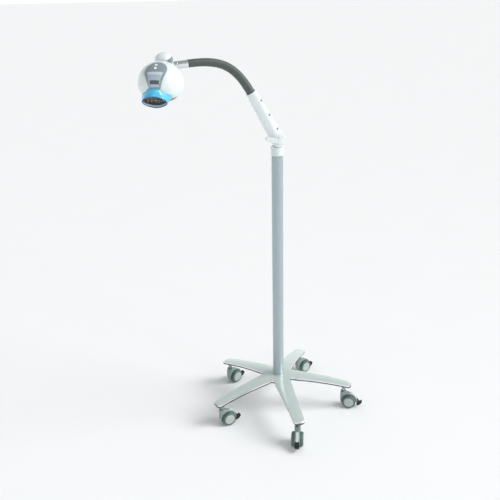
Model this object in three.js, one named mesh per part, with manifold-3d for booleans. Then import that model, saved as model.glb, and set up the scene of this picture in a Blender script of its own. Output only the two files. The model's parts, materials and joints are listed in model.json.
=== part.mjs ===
// Mobile dental light: a five-legged castored stand, a tilting arm with a flexible gooseneck,
// and a helmet-shaped lamp head with a bell-mouthed light shroud.
// Millimetres, +Z up. The origin is on the floor under the column's axis. The arm and the
// gooseneck lie in the XZ plane, and the lamp head hangs at the -X end, facing -Y and a little -X.
import * as THREE from 'three';
import { mergeVertices } from 'three/addons/utils/BufferGeometryUtils.js';
import Module from 'manifold-3d';

const wasm = await Module();
wasm.setup();

// ---------------------------------------------------------------- driving dimensions
const GAP = 0.3;                  // clearance between neighbouring pieces
const OVERRUN = 1;                // how far a cutter passes through the face it opens
const FACETS = 20;                // sides of a turned piece
const SMALL_FACETS = 12;          // sides of a small one

const LEG_COUNT = 5;
const LEG_FIRST_ANGLE = -90;      // degrees, the leg that points to -Y
const LEG_LENGTH = 260;
const LEG_HUB_HALF_WIDTH = 32;
const LEG_TIP_HALF_WIDTH = 19;
const LEG_TIP_CORNER = 12;
const LEG_THICKNESS = 9;
const LEG_TIP_TOP = 92;
const LEG_ARCH = 1.65;            // power of the fall from hub to tip, 1 is straight
const HUB_TOP = 131;
const HUB_RADIUS = 54;
const HUB_EDGE_TOP = 128;
const HUB_UNDER = 106;
const HUB_BOSS_RADIUS = 17;
const HUB_BOSS_BOTTOM = 94;
const BOLT_RADIUS = 5;
const STEM_BOSS_RADIUS = 12;
const STEM_BOSS_DROP = 7;         // below the leg's underside

const COLUMN_RADIUS = 19;
const COLUMN_WALL = 2;
const COLUMN_FOOT = 110;
const COLUMN_TOP = 961;
const INLET_HEIGHT = 160;

const WHEEL_RADIUS = 25;
const WHEEL_INNER = 5;            // wheel's inner face, from the caster's middle plane
const WHEEL_OUTER = 21;
const AXLE_RADIUS = 4;
const CASTER_TRAIL = 20;
const STEM_REACH = 237;           // from the column's axis to a caster's stem
const STEM_RADIUS = 5.5;
const HOOD_RADIUS = 29.5;
const HOOD_CLEARANCE = 1.3;       // between the tread and the hood
const HOOD_HALF_WIDTH = 9;
const WEB_HALF_WIDTH = 4;
const BOSS_RADIUS = 11;
const BOSS_TOP = 64;
const PEDAL_HALF_WIDTH = 8;
const PEDAL_DROOP = 19;           // degrees, how far the pedal is set down the hood
// Which way each caster trails, in degrees, starting with the leg that points to -Y.
const CASTER_HEADINGS = [-110, -23, 25, 29, 12];

const COLLAR_RADIUS = 21;
const COLLAR_BOTTOM = 937;
const COLLAR_TOP = 964.5;
const PIVOT = new THREE.Vector3(2, 0, 987);
const KNEE_RADIUS = 22;
const TONGUE_HALF_WIDTH = 9;
const POST_WIDTH = 26;
const EAR_OUTER = 20;
const PIVOT_BOLT_RADIUS = 5;
const LEVER_LENGTH = 50;
const LEVER_RISE = 13;            // degrees, how far the lever's tip is turned up
const ARM_LEAN = 29.4;            // degrees from vertical towards -X
const ARM_LENGTH = 175;
const ARM_FIRST_SCREW = 35;
const ARM_SCREW_PITCH = 52;
const ARM_SCREW_SIDE = 14.5;
const SCREW_HEAD = 3.2;
const SCREW_SHANK = 1.6;

const NECK_INSET = 2;             // the gooseneck starts this far inside the arm's end
const NECK_RISE = 101;            // how strongly it carries on in the arm's direction
const NECK_END = new THREE.Vector3(-275, 0, 1235);
const NECK_CREST = new THREE.Vector3(-176, 0, 1243.5);
const LINK_COUNT = 7;
const LINK_PITCH = 32;
const FIRST_LINK = 9;             // from the arm's end to the first ball
const LINK_ROOT_RADIUS = 13.4;
const LINK_END_RADIUS = 11.6;
const BALL_RADIUS = 8;
const BALL_NECK_RADIUS = 5;

const FERRULE_RADIUS = 10.5;
const FERRULE_GAP = 1;            // the last link meets the ferrule at a slight angle
const KNUCKLE_REACH = 70;         // from the gooseneck's end to the knuckle's axis
const KNUCKLE_RADIUS = 19;
const KNUCKLE_BELOW = 14;
const KNUCKLE_ABOVE = 17;
const SLEEVE_RADIUS = 13.5;
const SLEEVE_REACH = 26;
const SPIGOT_RADIUS = 7;
const CAP_RADIUS = 27.5;
const CAP_HEIGHT = 25;

const HEAD_CENTRE = new THREE.Vector3(-365, -50.8, 1190);
const HEAD_HEADING = -112.5;      // degrees, the way the head faces, in plan
const SHELL_FRONT = 68;           // half lengths of the egg-shaped shell
const SHELL_SIDE = 67;
const SHELL_UP = 62;
const SHELL_WALL = 2.6;
const RIM_DROP = 33;              // the shell's open rim, below its centre
const RIM_SLOPE = 12;             // degrees, the rim is lower at the front
const TRAY_DEPTH = 7;
const SADDLE_RADIUS = 42;         // room for the knuckle on the shell's rear top
const SADDLE_FLOOR = 22;          // above the shell's centre
const BEAM_DIP = 40;              // degrees, how far the light points below level
const MOUTH_CENTRE = new THREE.Vector3(68, -3, -47);
const MOUTH_HALF_WIDTH = 38;
const MOUTH_HALF_HEIGHT = 25;
const DUCT_HALF_WIDTH = 32;
const DUCT_HALF_HEIGHT = 17.5;
const SHOULDER_HALF_WIDTH = 44;
const SHOULDER_BACK = 26;         // from the mouth back to the shoulders
const SHROUD_NECK = 24;           // top of the shroud's rear, above its centre line
const SHROUD_LENGTH = 40;
const SHROUD_GAP = 0.9;
const PANEL_LIFT = 0.4;           // from the shell's skin to the panel's back
const PANEL_SKIN = 1.4;
const PANEL_SLOPE = -8;           // centre of the panel's round top, up the slope
const WINDOW_TOP = -11;
const DISPLAY_TOP = -36;
const BUTTON_SLOPES = [12, 0];
const BUTTON_RADIUS = 4.5;

// ---------------------------------------------------------------- materials
function finish(color, roughness, metalness) {
  return new THREE.MeshStandardMaterial({ color, roughness, metalness });
}

const polishedAluminium = finish(0xcfdad8, 0.22, 1.0);
const steel = finish(0x8f9698, 0.35, 1.0);
const satinGrey = finish(0x9aa6a9, 0.45, 0.6);
const whitePlastic = finish(0xf2f4f4, 0.3, 0.0);
const housingGrey = finish(0x8c9a98, 0.35, 0.0);
const tyreGrey = finish(0x5d7069, 0.7, 0.0);
const pedalBlack = finish(0x1f2422, 0.5, 0.0);
const neckGrey = finish(0x6d716f, 0.6, 0.1);
const chrome = finish(0xd9dfe1, 0.12, 1.0);
const undersideGrey = finish(0x4f4744, 0.5, 0.0);
const panelGrey = finish(0x8f9ca3, 0.35, 0.2);
const panelBlue = finish(0xaebccb, 0.25, 0.1);
const displayDark = finish(0x3c444b, 0.2, 0.0);
const buttonSilver = finish(0xe6eaec, 0.3, 0.3);
const shroudCyan = finish(0x3fbfe8, 0.35, 0.0);
const clearPlate = finish(0xdfeef2, 0.05, 0.0);
const boardGreen = finish(0x2f5a3a, 0.5, 0.1);

// ---------------------------------------------------------------- solid helpers
function toSolid(geometry) {
  const bare = (geometry.index ? geometry.toNonIndexed() : geometry.clone());
  bare.deleteAttribute('normal');
  bare.deleteAttribute('uv');
  const merged = mergeVertices(bare, 1e-4);
  const vertProperties = new Float32Array(merged.attributes.position.array);
  const triVerts = new Uint32Array(merged.index.array);
  return new wasm.Manifold(new wasm.Mesh({ numProp: 3, vertProperties, triVerts }));
}

function toGeometry(solid) {
  const mesh = solid.getMesh();
  const geometry = new THREE.BufferGeometry();
  geometry.setAttribute('position', new THREE.BufferAttribute(mesh.vertProperties, 3));
  geometry.setIndex(new THREE.BufferAttribute(mesh.triVerts, 1));
  return geometry;
}

function cut(body, ...cutters) {
  const solids = cutters.map(toSolid);
  const result = solids.reduce((left, cutter) => left.subtract(cutter), toSolid(body));
  return toGeometry(result);
}

function join(body, ...additions) {
  const solids = additions.map(toSolid);
  const result = solids.reduce((left, addition) => left.add(addition), toSolid(body));
  return toGeometry(result);
}

function common(body, ...others) {
  const solids = others.map(toSolid);
  const result = solids.reduce((left, other) => left.intersect(other), toSolid(body));
  return toGeometry(result);
}

// A turned piece about Z from a profile of [radius, height] points, listed from bottom to top.
function turned(profile, facets = FACETS) {
  const points = profile.map(([radius, height]) => new THREE.Vector2(radius, height));
  return new THREE.LatheGeometry(points, facets).rotateX(Math.PI / 2);
}

// A cylinder along Z between two heights.
function rod(radius, bottom, top, facets = FACETS) {
  return turned([[0, bottom], [radius, bottom], [radius, top], [0, top]], facets);
}

function box(width, depth, height, x = 0, y = 0, z = 0) {
  return new THREE.BoxGeometry(width, depth, height).translate(x, y, z);
}

// A prism that stands on an outline in the XY plane, between two heights.
function prism(points, bottom, top) {
  const shape = new THREE.Shape(points.map(([x, y]) => new THREE.Vector2(x, y)));
  const settings = { depth: top - bottom, bevelEnabled: false };
  return new THREE.ExtrudeGeometry(shape, settings).translate(0, 0, bottom);
}

// A prism that lies along Y, from an outline in the XZ plane.
function plate(points, nearY, farY) {
  return prism(points, 0, farY - nearY).rotateX(Math.PI / 2).translate(0, farY, 0);
}

// Points of an arc in degrees, both ends included.
function arc(x, y, radius, from, to, steps) {
  return Array.from({ length: steps + 1 }, (_, i) => {
    const angle = THREE.MathUtils.degToRad(from + (to - from) * i / steps);
    return [x + radius * Math.cos(angle), y + radius * Math.sin(angle)];
  });
}

// A closed skin over rings of equal length, the first and last of them capped. Seen from
// the last ring's end, looking back to the first, each ring runs anticlockwise.
function loft(rings) {
  const count = rings[0].length;
  const positions = rings.flat().flatMap((point) => [point.x, point.y, point.z]);
  const centres = [rings[0], rings[rings.length - 1]].map((ring) => {
    const sum = ring.reduce((total, point) => total.add(point), new THREE.Vector3());
    return sum.divideScalar(count);
  });
  centres.forEach((centre) => positions.push(centre.x, centre.y, centre.z));
  const index = [];
  for (let i = 0; i < count; i += 1) {
    const next = (i + 1) % count;
    for (let k = 0; k < rings.length - 1; k += 1) {
      const low = k * count;
      const high = low + count;
      index.push(low + i, low + next, high + next, low + i, high + next, high + i);
    }
    const last = (rings.length - 1) * count;
    index.push(next, i, rings.length * count);
    index.push(last + i, last + next, rings.length * count + 1);
  }
  const geometry = new THREE.BufferGeometry();
  geometry.setAttribute('position', new THREE.Float32BufferAttribute(positions, 3));
  geometry.setIndex(index);
  return geometry;
}

function mix(from, to, amount) {
  return from + (to - from) * amount;
}

function addPart(group, name, geometry, material) {
  const mesh = new THREE.Mesh(geometry, material);
  mesh.name = name;
  group.add(mesh);
  return mesh;
}

// ---------------------------------------------------------------- base star
function legTop(reach) {
  return mix(HUB_TOP, LEG_TIP_TOP, Math.pow(reach / LEG_LENGTH, LEG_ARCH));
}

function makeLeg() {
  const tipStraight = LEG_LENGTH - LEG_TIP_CORNER;
  const tipSide = LEG_TIP_HALF_WIDTH - LEG_TIP_CORNER;
  const outline = [
    [0, -LEG_HUB_HALF_WIDTH],
    [HUB_RADIUS, -LEG_HUB_HALF_WIDTH + 2],
    [LEG_LENGTH / 2, -LEG_TIP_HALF_WIDTH - 4],
    ...arc(tipStraight, -tipSide, LEG_TIP_CORNER, -90, 0, 3),
    ...arc(tipStraight, tipSide, LEG_TIP_CORNER, 0, 90, 3),
    [LEG_LENGTH / 2, LEG_TIP_HALF_WIDTH + 4],
    [HUB_RADIUS, LEG_HUB_HALF_WIDTH - 2],
    [0, LEG_HUB_HALF_WIDTH],
  ];
  const steps = 5;
  const reaches = Array.from({ length: steps + 1 }, (_, i) => LEG_LENGTH * i / steps);
  const side = [
    ...reaches.map((reach) => [reach, legTop(reach) - LEG_THICKNESS]),
    ...reaches.reverse().map((reach) => [reach, legTop(reach)]),
  ];
  const width = LEG_HUB_HALF_WIDTH + OVERRUN;
  return common(prism(outline, 0, HUB_TOP + OVERRUN), plate(side, -width, width));
}

function makeStar() {
  const hub = turned([
    [0, HUB_BOSS_BOTTOM],
    [HUB_BOSS_RADIUS, HUB_BOSS_BOTTOM],
    [HUB_BOSS_RADIUS, HUB_UNDER],
    [HUB_RADIUS, HUB_EDGE_TOP - LEG_THICKNESS],
    [HUB_RADIUS, HUB_EDGE_TOP],
    [COLUMN_RADIUS + 3, HUB_TOP],
    [0, HUB_TOP],
  ]);
  const legs = legAngles().map((angle) => makeLeg().rotateZ(angle));
  const stemBosses = legAngles().map((angle) => {
    const boss = rod(STEM_BOSS_RADIUS, stemBossBottom(), legTop(STEM_REACH) - 3, SMALL_FACETS);
    return boss.translate(STEM_REACH, 0, 0).rotateZ(angle);
  });
  const stemHoles = legAngles().map((angle) => {
    const hole = rod(STEM_RADIUS + GAP, 0, legTop(STEM_REACH) - 4, SMALL_FACETS);
    return hole.translate(STEM_REACH, 0, 0).rotateZ(angle);
  });
  const socket = rod(COLUMN_RADIUS + GAP, COLUMN_FOOT - GAP, HUB_TOP + OVERRUN);
  const boltHole = rod(BOLT_RADIUS + GAP, HUB_BOSS_BOTTOM - OVERRUN, COLUMN_FOOT);
  return cut(join(hub, ...legs, ...stemBosses), socket, boltHole, ...stemHoles);
}

function stemBossBottom() {
  return legTop(STEM_REACH) - LEG_THICKNESS - STEM_BOSS_DROP;
}

function legAngles() {
  return Array.from({ length: LEG_COUNT }, (_, i) => {
    return THREE.MathUtils.degToRad(LEG_FIRST_ANGLE + i * 360 / LEG_COUNT);
  });
}

function makeHubBolt() {
  const head = HUB_BOSS_BOTTOM - GAP;
  return turned([
    [0, head - 7], [9, head - 7], [9, head - 2], [13, head - 2], [13, head],
    [BOLT_RADIUS, head], [BOLT_RADIUS, COLUMN_FOOT + 6], [0, COLUMN_FOOT + 6],
  ], 12);
}

// ---------------------------------------------------------------- column and its inlet
function makeColumn() {
  const bore = COLUMN_RADIUS - COLUMN_WALL;
  const tube = turned([
    [bore, COLUMN_FOOT], [COLUMN_RADIUS, COLUMN_FOOT],
    [COLUMN_RADIUS, COLUMN_TOP], [bore, COLUMN_TOP], [bore, COLUMN_FOOT],
  ]);
  const hole = rod(6 + GAP, 0, COLUMN_RADIUS + OVERRUN, SMALL_FACETS);
  return cut(tube, hole.rotateX(-Math.PI / 2).translate(0, 0, INLET_HEIGHT));
}

function makeInlet() {
  const face = COLUMN_RADIUS + GAP;
  const socket = turned([
    [0, face - 9], [6, face - 9], [6, face], [9, face], [9, face + 3],
    [4, face + 3], [4, face - 5], [0, face - 5],
  ], SMALL_FACETS);
  return socket.rotateX(-Math.PI / 2).translate(0, 0, INLET_HEIGHT);
}

// ---------------------------------------------------------------- casters
// Each caster is drawn with its stem on Z and trails towards +X.
function makeStem() {
  const top = legTop(STEM_REACH) - 4 - GAP;
  const seat = stemBossBottom() - GAP;
  return turned([
    [0, BOSS_TOP - 16], [STEM_RADIUS, BOSS_TOP - 16], [STEM_RADIUS, seat - 4],
    [8, seat - 4], [8, seat], [STEM_RADIUS, seat], [STEM_RADIUS, top], [0, top],
  ], SMALL_FACETS);
}

function makeHousing() {
  const hoodFloor = 12;
  const outline = [
    [-BOSS_RADIUS, WHEEL_RADIUS],
    [-BOSS_RADIUS + 6, hoodFloor],
    [CASTER_TRAIL, hoodFloor],
    ...arc(CASTER_TRAIL, WHEEL_RADIUS, HOOD_RADIUS, -8, 82, 5),
    [BOSS_RADIUS, BOSS_TOP - 5],
    [-BOSS_RADIUS, BOSS_TOP - 5],
  ];
  const hood = plate(outline, -HOOD_HALF_WIDTH, HOOD_HALF_WIDTH);
  const boss = rod(BOSS_RADIUS, WHEEL_RADIUS + 20, BOSS_TOP, SMALL_FACETS);
  const wheelRoom = rod(WHEEL_RADIUS + HOOD_CLEARANCE, WEB_HALF_WIDTH, EAR_OUTER)
    .rotateX(Math.PI / 2)
    .translate(CASTER_TRAIL, 0, WHEEL_RADIUS);
  const otherRoom = wheelRoom.clone().rotateZ(Math.PI).translate(2 * CASTER_TRAIL, 0, 0);
  const stemBore = rod(STEM_RADIUS + GAP, BOSS_TOP - 16 - GAP, BOSS_TOP + OVERRUN, SMALL_FACETS);
  const axle = rod(AXLE_RADIUS, -WHEEL_OUTER + 4, WHEEL_OUTER - 4, SMALL_FACETS)
    .rotateX(Math.PI / 2)
    .translate(CASTER_TRAIL, 0, WHEEL_RADIUS);
  return join(cut(join(hood, boss), wheelRoom, otherRoom, stemBore), axle);
}

// One wheel on the +Y side. It stands on a flat of its tread, which touches the floor.
function makeWheel() {
  const bore = AXLE_RADIUS + GAP;
  const tread = WHEEL_RADIUS / Math.cos(Math.PI / FACETS);
  const wheel = turned([
    [bore, WHEEL_INNER], [tread, WHEEL_INNER], [tread, WHEEL_OUTER - 4],
    [tread - 6, WHEEL_OUTER], [0, WHEEL_OUTER], [0, WHEEL_OUTER - 3],
    [bore, WHEEL_OUTER - 3], [bore, WHEEL_INNER],
  ]);
  return wheel.rotateZ(Math.PI / FACETS).rotateX(-Math.PI / 2);
}

function makePedal() {
  const inner = HOOD_RADIUS + 0.6;
  const outline = [
    ...arc(0, 0, inner, 34, -6, 4),
    [inner + 3, -7],
    [inner + 13, 2],
    [inner + 16, 14],
    [inner + 12.5, 15],
    [inner + 9, 8],
    [inner + 1, 12],
  ];
  const droop = THREE.MathUtils.degToRad(PEDAL_DROOP);
  return plate(outline, -PEDAL_HALF_WIDTH, PEDAL_HALF_WIDTH).rotateY(droop);
}

function makeCaster(number, angle, heading) {
  const caster = new THREE.Group();
  caster.position.set(STEM_REACH * Math.cos(angle), STEM_REACH * Math.sin(angle), 0);
  caster.rotation.z = THREE.MathUtils.degToRad(heading);
  addPart(caster, `caster_stem_${number}`, makeStem(), steel);
  addPart(caster, `caster_housing_${number}`, makeHousing(), housingGrey);
  const axle = new THREE.Group();
  axle.position.set(CASTER_TRAIL, 0, WHEEL_RADIUS);
  addPart(axle, `caster_wheel_left_${number}`, makeWheel(), tyreGrey);
  addPart(axle, `caster_wheel_right_${number}`, makeWheel(), tyreGrey).rotation.z = Math.PI;
  addPart(axle, `brake_pedal_${number}`, makePedal(), pedalBlack);
  caster.add(axle);
  return caster;
}

// ---------------------------------------------------------------- elbow and arm
function makeElbowBase() {
  const collar = turned([
    [COLUMN_RADIUS + GAP, COLLAR_BOTTOM],
    [COLLAR_RADIUS, COLLAR_BOTTOM],
    [COLLAR_RADIUS, COLLAR_TOP],
    [0, COLLAR_TOP],
    [0, COLUMN_TOP + GAP],
    [COLUMN_RADIUS + GAP, COLUMN_TOP + GAP],
    [COLUMN_RADIUS + GAP, COLLAR_BOTTOM],
  ]);
  const knee = rod(KNEE_RADIUS, -TONGUE_HALF_WIDTH, TONGUE_HALF_WIDTH)
    .rotateX(Math.PI / 2)
    .translate(PIVOT.x, 0, PIVOT.z);
  const post = box(POST_WIDTH, 2 * TONGUE_HALF_WIDTH, PIVOT.z - COLLAR_TOP)
    .translate(PIVOT.x, 0, (PIVOT.z + COLLAR_TOP) / 2 - OVERRUN);
  const bore = rod(PIVOT_BOLT_RADIUS + GAP, -EAR_OUTER, EAR_OUTER)
    .rotateX(Math.PI / 2)
    .translate(PIVOT.x, 0, PIVOT.z);
  return cut(join(collar, knee, post), bore);
}

// The arm is drawn upright from its pivot. Its front half has a ridge along it, and a
// light face with three screws to the +X side of the ridge.
function armSection(share, front) {
  const left = mix(-22, -16, share);
  const right = mix(22, 17.5, share);
  const ridge = mix(2, 7, share);
  const depth = mix(EAR_OUTER, 16, share);
  const sign = front ? -1 : 1;
  return [
    [left, sign * GAP / 2], [left, sign * depth * 0.35], [left * 0.72, sign * depth * 0.8],
    [ridge - 5, sign * depth], [ridge + 3, sign * depth], [right * 0.9, sign * depth * 0.6],
    [right, sign * depth * 0.3], [right, sign * GAP / 2],
  ];
}

function makeArmHalf(front) {
  const levels = [0, 30, ARM_LENGTH / 2, ARM_LENGTH];
  const rings = levels.map((level) => {
    const ring = armSection(level / ARM_LENGTH, front).map(([x, y]) => {
      return new THREE.Vector3(x, y, level);
    });
    return front ? ring : ring.reverse();
  });
  const ear = rod(KNEE_RADIUS, GAP / 2, EAR_OUTER).rotateX(front ? Math.PI / 2 : -Math.PI / 2);
  const kneeRoom = rod(KNEE_RADIUS + 1, -TONGUE_HALF_WIDTH - 0.5, TONGUE_HALF_WIDTH + 0.5)
    .rotateX(Math.PI / 2);
  const postRoom = box(80, 2 * TONGUE_HALF_WIDTH + 1, KNEE_RADIUS + 1, 0, 0, -KNEE_RADIUS / 2);
  const boltBore = rod(PIVOT_BOLT_RADIUS + GAP, -30, 30).rotateX(Math.PI / 2);
  const fittingRoom = rod(LINK_ROOT_RADIUS + 0.7, ARM_LENGTH - 26, ARM_LENGTH + OVERRUN);
  const cableRoom = rod(9, KNEE_RADIUS + 5, ARM_LENGTH, SMALL_FACETS);
  const cutters = [kneeRoom, postRoom, boltBore, fittingRoom, cableRoom];
  screwFrames().forEach((frame) => {
    cutters.push(rod(SCREW_SHANK + GAP, -22, 0, 8).applyMatrix4(frame));
    cutters.push(rod(SCREW_HEAD + GAP, -3 - GAP, 8, 8).applyMatrix4(frame));
  });
  return cut(join(loft(rings), ear), ...cutters);
}

// The three screws lie on the light face, square to it, and reach the rear half.
function screwFrames() {
  return [0, 1, 2].map((i) => {
    const level = ARM_FIRST_SCREW + i * ARM_SCREW_PITCH;
    const share = level / ARM_LENGTH;
    const depth = mix(EAR_OUTER, 16, share);
    const frame = new THREE.Matrix4().makeRotationX(Math.PI / 2);
    frame.setPosition(ARM_SCREW_SIDE, -depth * 0.72, level);
    return frame;
  });
}

function makeArmScrew() {
  return turned([
    [0, -20], [SCREW_SHANK, -20], [SCREW_SHANK, -3], [SCREW_HEAD, -3], [SCREW_HEAD, 0], [0, 0],
  ], 8);
}

function makePivotBolt() {
  const reach = EAR_OUTER + GAP;
  const bolt = turned([
    [0, -reach - 5], [8, -reach - 5], [8, -reach], [PIVOT_BOLT_RADIUS, -reach],
    [PIVOT_BOLT_RADIUS, reach + 6], [0, reach + 6],
  ], SMALL_FACETS);
  return bolt.rotateX(Math.PI / 2);
}

// The lever's hub sits on the bolt's end, and its handle points along -X.
function makeClampLever() {
  const near = EAR_OUTER + GAP;
  const hub = rod(10.5, near, near + 14).rotateX(Math.PI / 2);
  const outline = [
    [0, 8], [-LEVER_LENGTH + 8, 7.5], ...arc(-LEVER_LENGTH + 8, 0, 7.5, 90, 270, 6), [0, -8],
  ];
  const handle = plate(outline, -near - 13, -near - 4);
  const bore = rod(PIVOT_BOLT_RADIUS + GAP, near - OVERRUN, near + 6 + GAP, SMALL_FACETS)
    .rotateX(Math.PI / 2);
  return cut(join(hub, handle.rotateY(THREE.MathUtils.degToRad(LEVER_RISE))), bore);
}

// ---------------------------------------------------------------- gooseneck
function armPoint(level) {
  const lean = THREE.MathUtils.degToRad(ARM_LEAN);
  return new THREE.Vector3(-level * Math.sin(lean), 0, level * Math.cos(lean)).add(PIVOT);
}

const neckStart = armPoint(ARM_LENGTH - NECK_INSET);
const neckRise = armPoint(ARM_LENGTH - NECK_INSET + NECK_RISE);
const neckCurve = new THREE.CubicBezierCurve3(neckStart, neckRise, NECK_CREST, NECK_END);
const neckLength = neckCurve.getLength();

function neckPoint(reach) {
  return neckCurve.getPointAt(Math.min(reach / neckLength, 1));
}

// A frame at one point whose Z looks at another point, both in the XZ plane.
function frameAlong(from, to) {
  const zAxis = to.clone().sub(from).normalize();
  const yAxis = new THREE.Vector3(0, 1, 0);
  const xAxis = yAxis.clone().cross(zAxis);
  return new THREE.Matrix4().makeBasis(xAxis, yAxis, zAxis).setPosition(from);
}

// The ball that the next link turns on, with its neck, around a given height.
function ballProfile(height) {
  const neckAngle = Math.asin(BALL_NECK_RADIUS / BALL_RADIUS);
  const start = -90 + THREE.MathUtils.radToDeg(neckAngle);
  return arc(0, height, BALL_RADIUS, start, 90, 4).slice(0, -1).concat([[0, height + BALL_RADIUS]]);
}

// A link is drawn from its socket's centre at the origin to its ball at the link's length.
function makeLink(length, radius, hasBall) {
  const cup = BALL_RADIUS + 0.5;
  const shoulder = length - (hasBall ? 9 : 0);
  const socket = arc(0, 0, cup, 90, 8, 4).map(([x, y]) => [Math.max(x, 0), y]);
  socket[0][0] = 0;
  const end = hasBall
    ? [[radius, shoulder - 3.5], [BALL_NECK_RADIUS, shoulder], ...ballProfile(length)]
    : [[radius, length - FERRULE_GAP], [0, length - FERRULE_GAP]];
  const profile = [...socket, [radius - 1.2, 1.2], [radius, 3], ...end];
  return turned(profile, SMALL_FACETS);
}

function makeFitting(toBall) {
  const rim = 20;
  return turned([
    [0, -rim], [LINK_ROOT_RADIUS, -rim], [LINK_ROOT_RADIUS, toBall - 12],
    [BALL_NECK_RADIUS, toBall - 8], ...ballProfile(toBall),
  ], SMALL_FACETS);
}

// ---------------------------------------------------------------- ferrule and knuckle
// Drawn with Z up through the knuckle's axis and the ferrule coming in along +X.
function makeFerrule() {
  const outer = KNUCKLE_REACH;
  const inner = SLEEVE_REACH + GAP;
  const ferrule = turned([
    [0, inner - 18], [SPIGOT_RADIUS, inner - 18], [SPIGOT_RADIUS, inner],
    [FERRULE_RADIUS - 0.6, inner], [FERRULE_RADIUS, inner + 1.5],
    [FERRULE_RADIUS, outer - 5], [FERRULE_RADIUS + 0.8, outer - 4],
    [FERRULE_RADIUS + 0.8, outer], [0, outer],
  ]);
  return ferrule.rotateY(Math.PI / 2);
}

function makeKnuckleBody() {
  const block = turned([
    [0, -KNUCKLE_BELOW - 14], [SPIGOT_RADIUS, -KNUCKLE_BELOW - 14], [SPIGOT_RADIUS, -KNUCKLE_BELOW],
    [KNUCKLE_RADIUS - 2, -KNUCKLE_BELOW], [KNUCKLE_RADIUS, -KNUCKLE_BELOW + 2],
    [KNUCKLE_RADIUS, KNUCKLE_ABOVE], [0, KNUCKLE_ABOVE],
  ]);
  const sleeve = rod(SLEEVE_RADIUS, 0, SLEEVE_REACH).rotateY(Math.PI / 2);
  const bore = rod(SPIGOT_RADIUS + GAP, SLEEVE_REACH - 18, SLEEVE_REACH + OVERRUN);
  return cut(join(block, sleeve), bore.rotateY(Math.PI / 2));
}

function makeKnuckleCap() {
  const base = KNUCKLE_ABOVE + GAP;
  const steps = 5;
  const dome = Array.from({ length: steps }, (_, i) => {
    const angle = Math.PI / 2 * i / steps;
    return [CAP_RADIUS * Math.cos(angle), base + 3 + (CAP_HEIGHT - 3) * Math.sin(angle)];
  });
  return turned([[0, base], [CAP_RADIUS - 2, base], ...dome, [0, base + CAP_HEIGHT]]);
}

// ---------------------------------------------------------------- lamp head
// Drawn about the shell's centre: +X forward, +Y to the left hand, +Z up.
function egg(offset) {
  const sphere = new THREE.SphereGeometry(1, 28, 16).rotateX(Math.PI / 2);
  return sphere.scale(SHELL_FRONT + offset, SHELL_SIDE + offset, SHELL_UP + offset);
}

// Everything between two levels, measured from the shell's rim and square to it.
function rimSlab(low, high) {
  const slab = box(300, 300, high - low, 0, 0, (high + low) / 2);
  return slab.rotateY(THREE.MathUtils.degToRad(RIM_SLOPE)).translate(0, 0, -RIM_DROP);
}

function headKnuckleAxis() {
  const axis = knuckleCentre().sub(HEAD_CENTRE);
  const heading = THREE.MathUtils.degToRad(HEAD_HEADING);
  return axis.applyAxisAngle(new THREE.Vector3(0, 0, 1), -heading);
}

function saddle(growth) {
  const axis = headKnuckleAxis();
  return rod(SADDLE_RADIUS + growth, SADDLE_FLOOR - growth, 100, 24).translate(axis.x, axis.y, 0);
}

// The knuckle's spigot passes through the saddle's floor, leaning as the knuckle does.
function spigotRoom() {
  const matrix = new THREE.Matrix4().makeRotationZ(-THREE.MathUtils.degToRad(HEAD_HEADING));
  matrix.multiply(new THREE.Matrix4().makeTranslation(HEAD_CENTRE.clone().negate()));
  matrix.multiply(knuckleFrame());
  return rod(SPIGOT_RADIUS + 0.8, -60, 0, SMALL_FACETS).applyMatrix4(matrix);
}

// Half the shroud's width at a height above the mouth's centre line.
function bellWidth(height) {
  if (height < -2) {
    const drop = Math.min(-(height + 2) / 20, 1);
    return SHOULDER_HALF_WIDTH * Math.pow(1 - drop * drop, 0.35);
  }
  return 15 + (SHOULDER_HALF_WIDTH - 15) * Math.pow(Math.max(1 - (height + 2) / (SHROUD_NECK + 2), 0), 1.9);
}

function eyeWidth(height, halfWidth, halfHeight) {
  return halfWidth * Math.pow(Math.max(1 - Math.pow(height / halfHeight, 2), 0), 0.62);
}

// An outline moved outwards by the same distance all round. It runs anticlockwise.
function grown(outline, growth) {
  const points = outline.map(([x, y]) => new THREE.Vector2(x, y));
  return points.map((point, i) => {
    const before = points[(i + points.length - 1) % points.length];
    const after = points[(i + 1) % points.length];
    const edgeIn = point.clone().sub(before).normalize();
    const edgeOut = after.clone().sub(point).normalize();
    const along = edgeIn.clone().add(edgeOut).normalize();
    const reach = growth / Math.max(along.dot(edgeIn), 0.5);
    return [point.x + along.y * reach, point.y - along.x * reach];
  });
}

// The points of a symmetrical outline between two heights, from its half width at each.
function symmetrical(low, high, widthAt) {
  const steps = 9;
  const heights = Array.from({ length: steps + 1 }, (_, i) => {
    return mix(low, high, (1 - Math.cos(Math.PI * i / steps)) / 2);
  });
  const right = heights.map((height) => [Math.max(widthAt(height), 0.4), height]);
  return [...right, ...right.map(([side, height]) => [-side, height]).reverse()];
}

// An outline placed square to the beam, at a distance behind the mouth.
function beamRing(back, outline) {
  return outline.map(([side, height]) => beamPoint(-back, side, height));
}

function beamPoint(ahead, side, height) {
  const dip = THREE.MathUtils.degToRad(BEAM_DIP);
  const x = ahead * Math.cos(dip) + height * Math.sin(dip);
  const z = -ahead * Math.sin(dip) + height * Math.cos(dip);
  return new THREE.Vector3(x, side, z).add(MOUTH_CENTRE);
}

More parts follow.
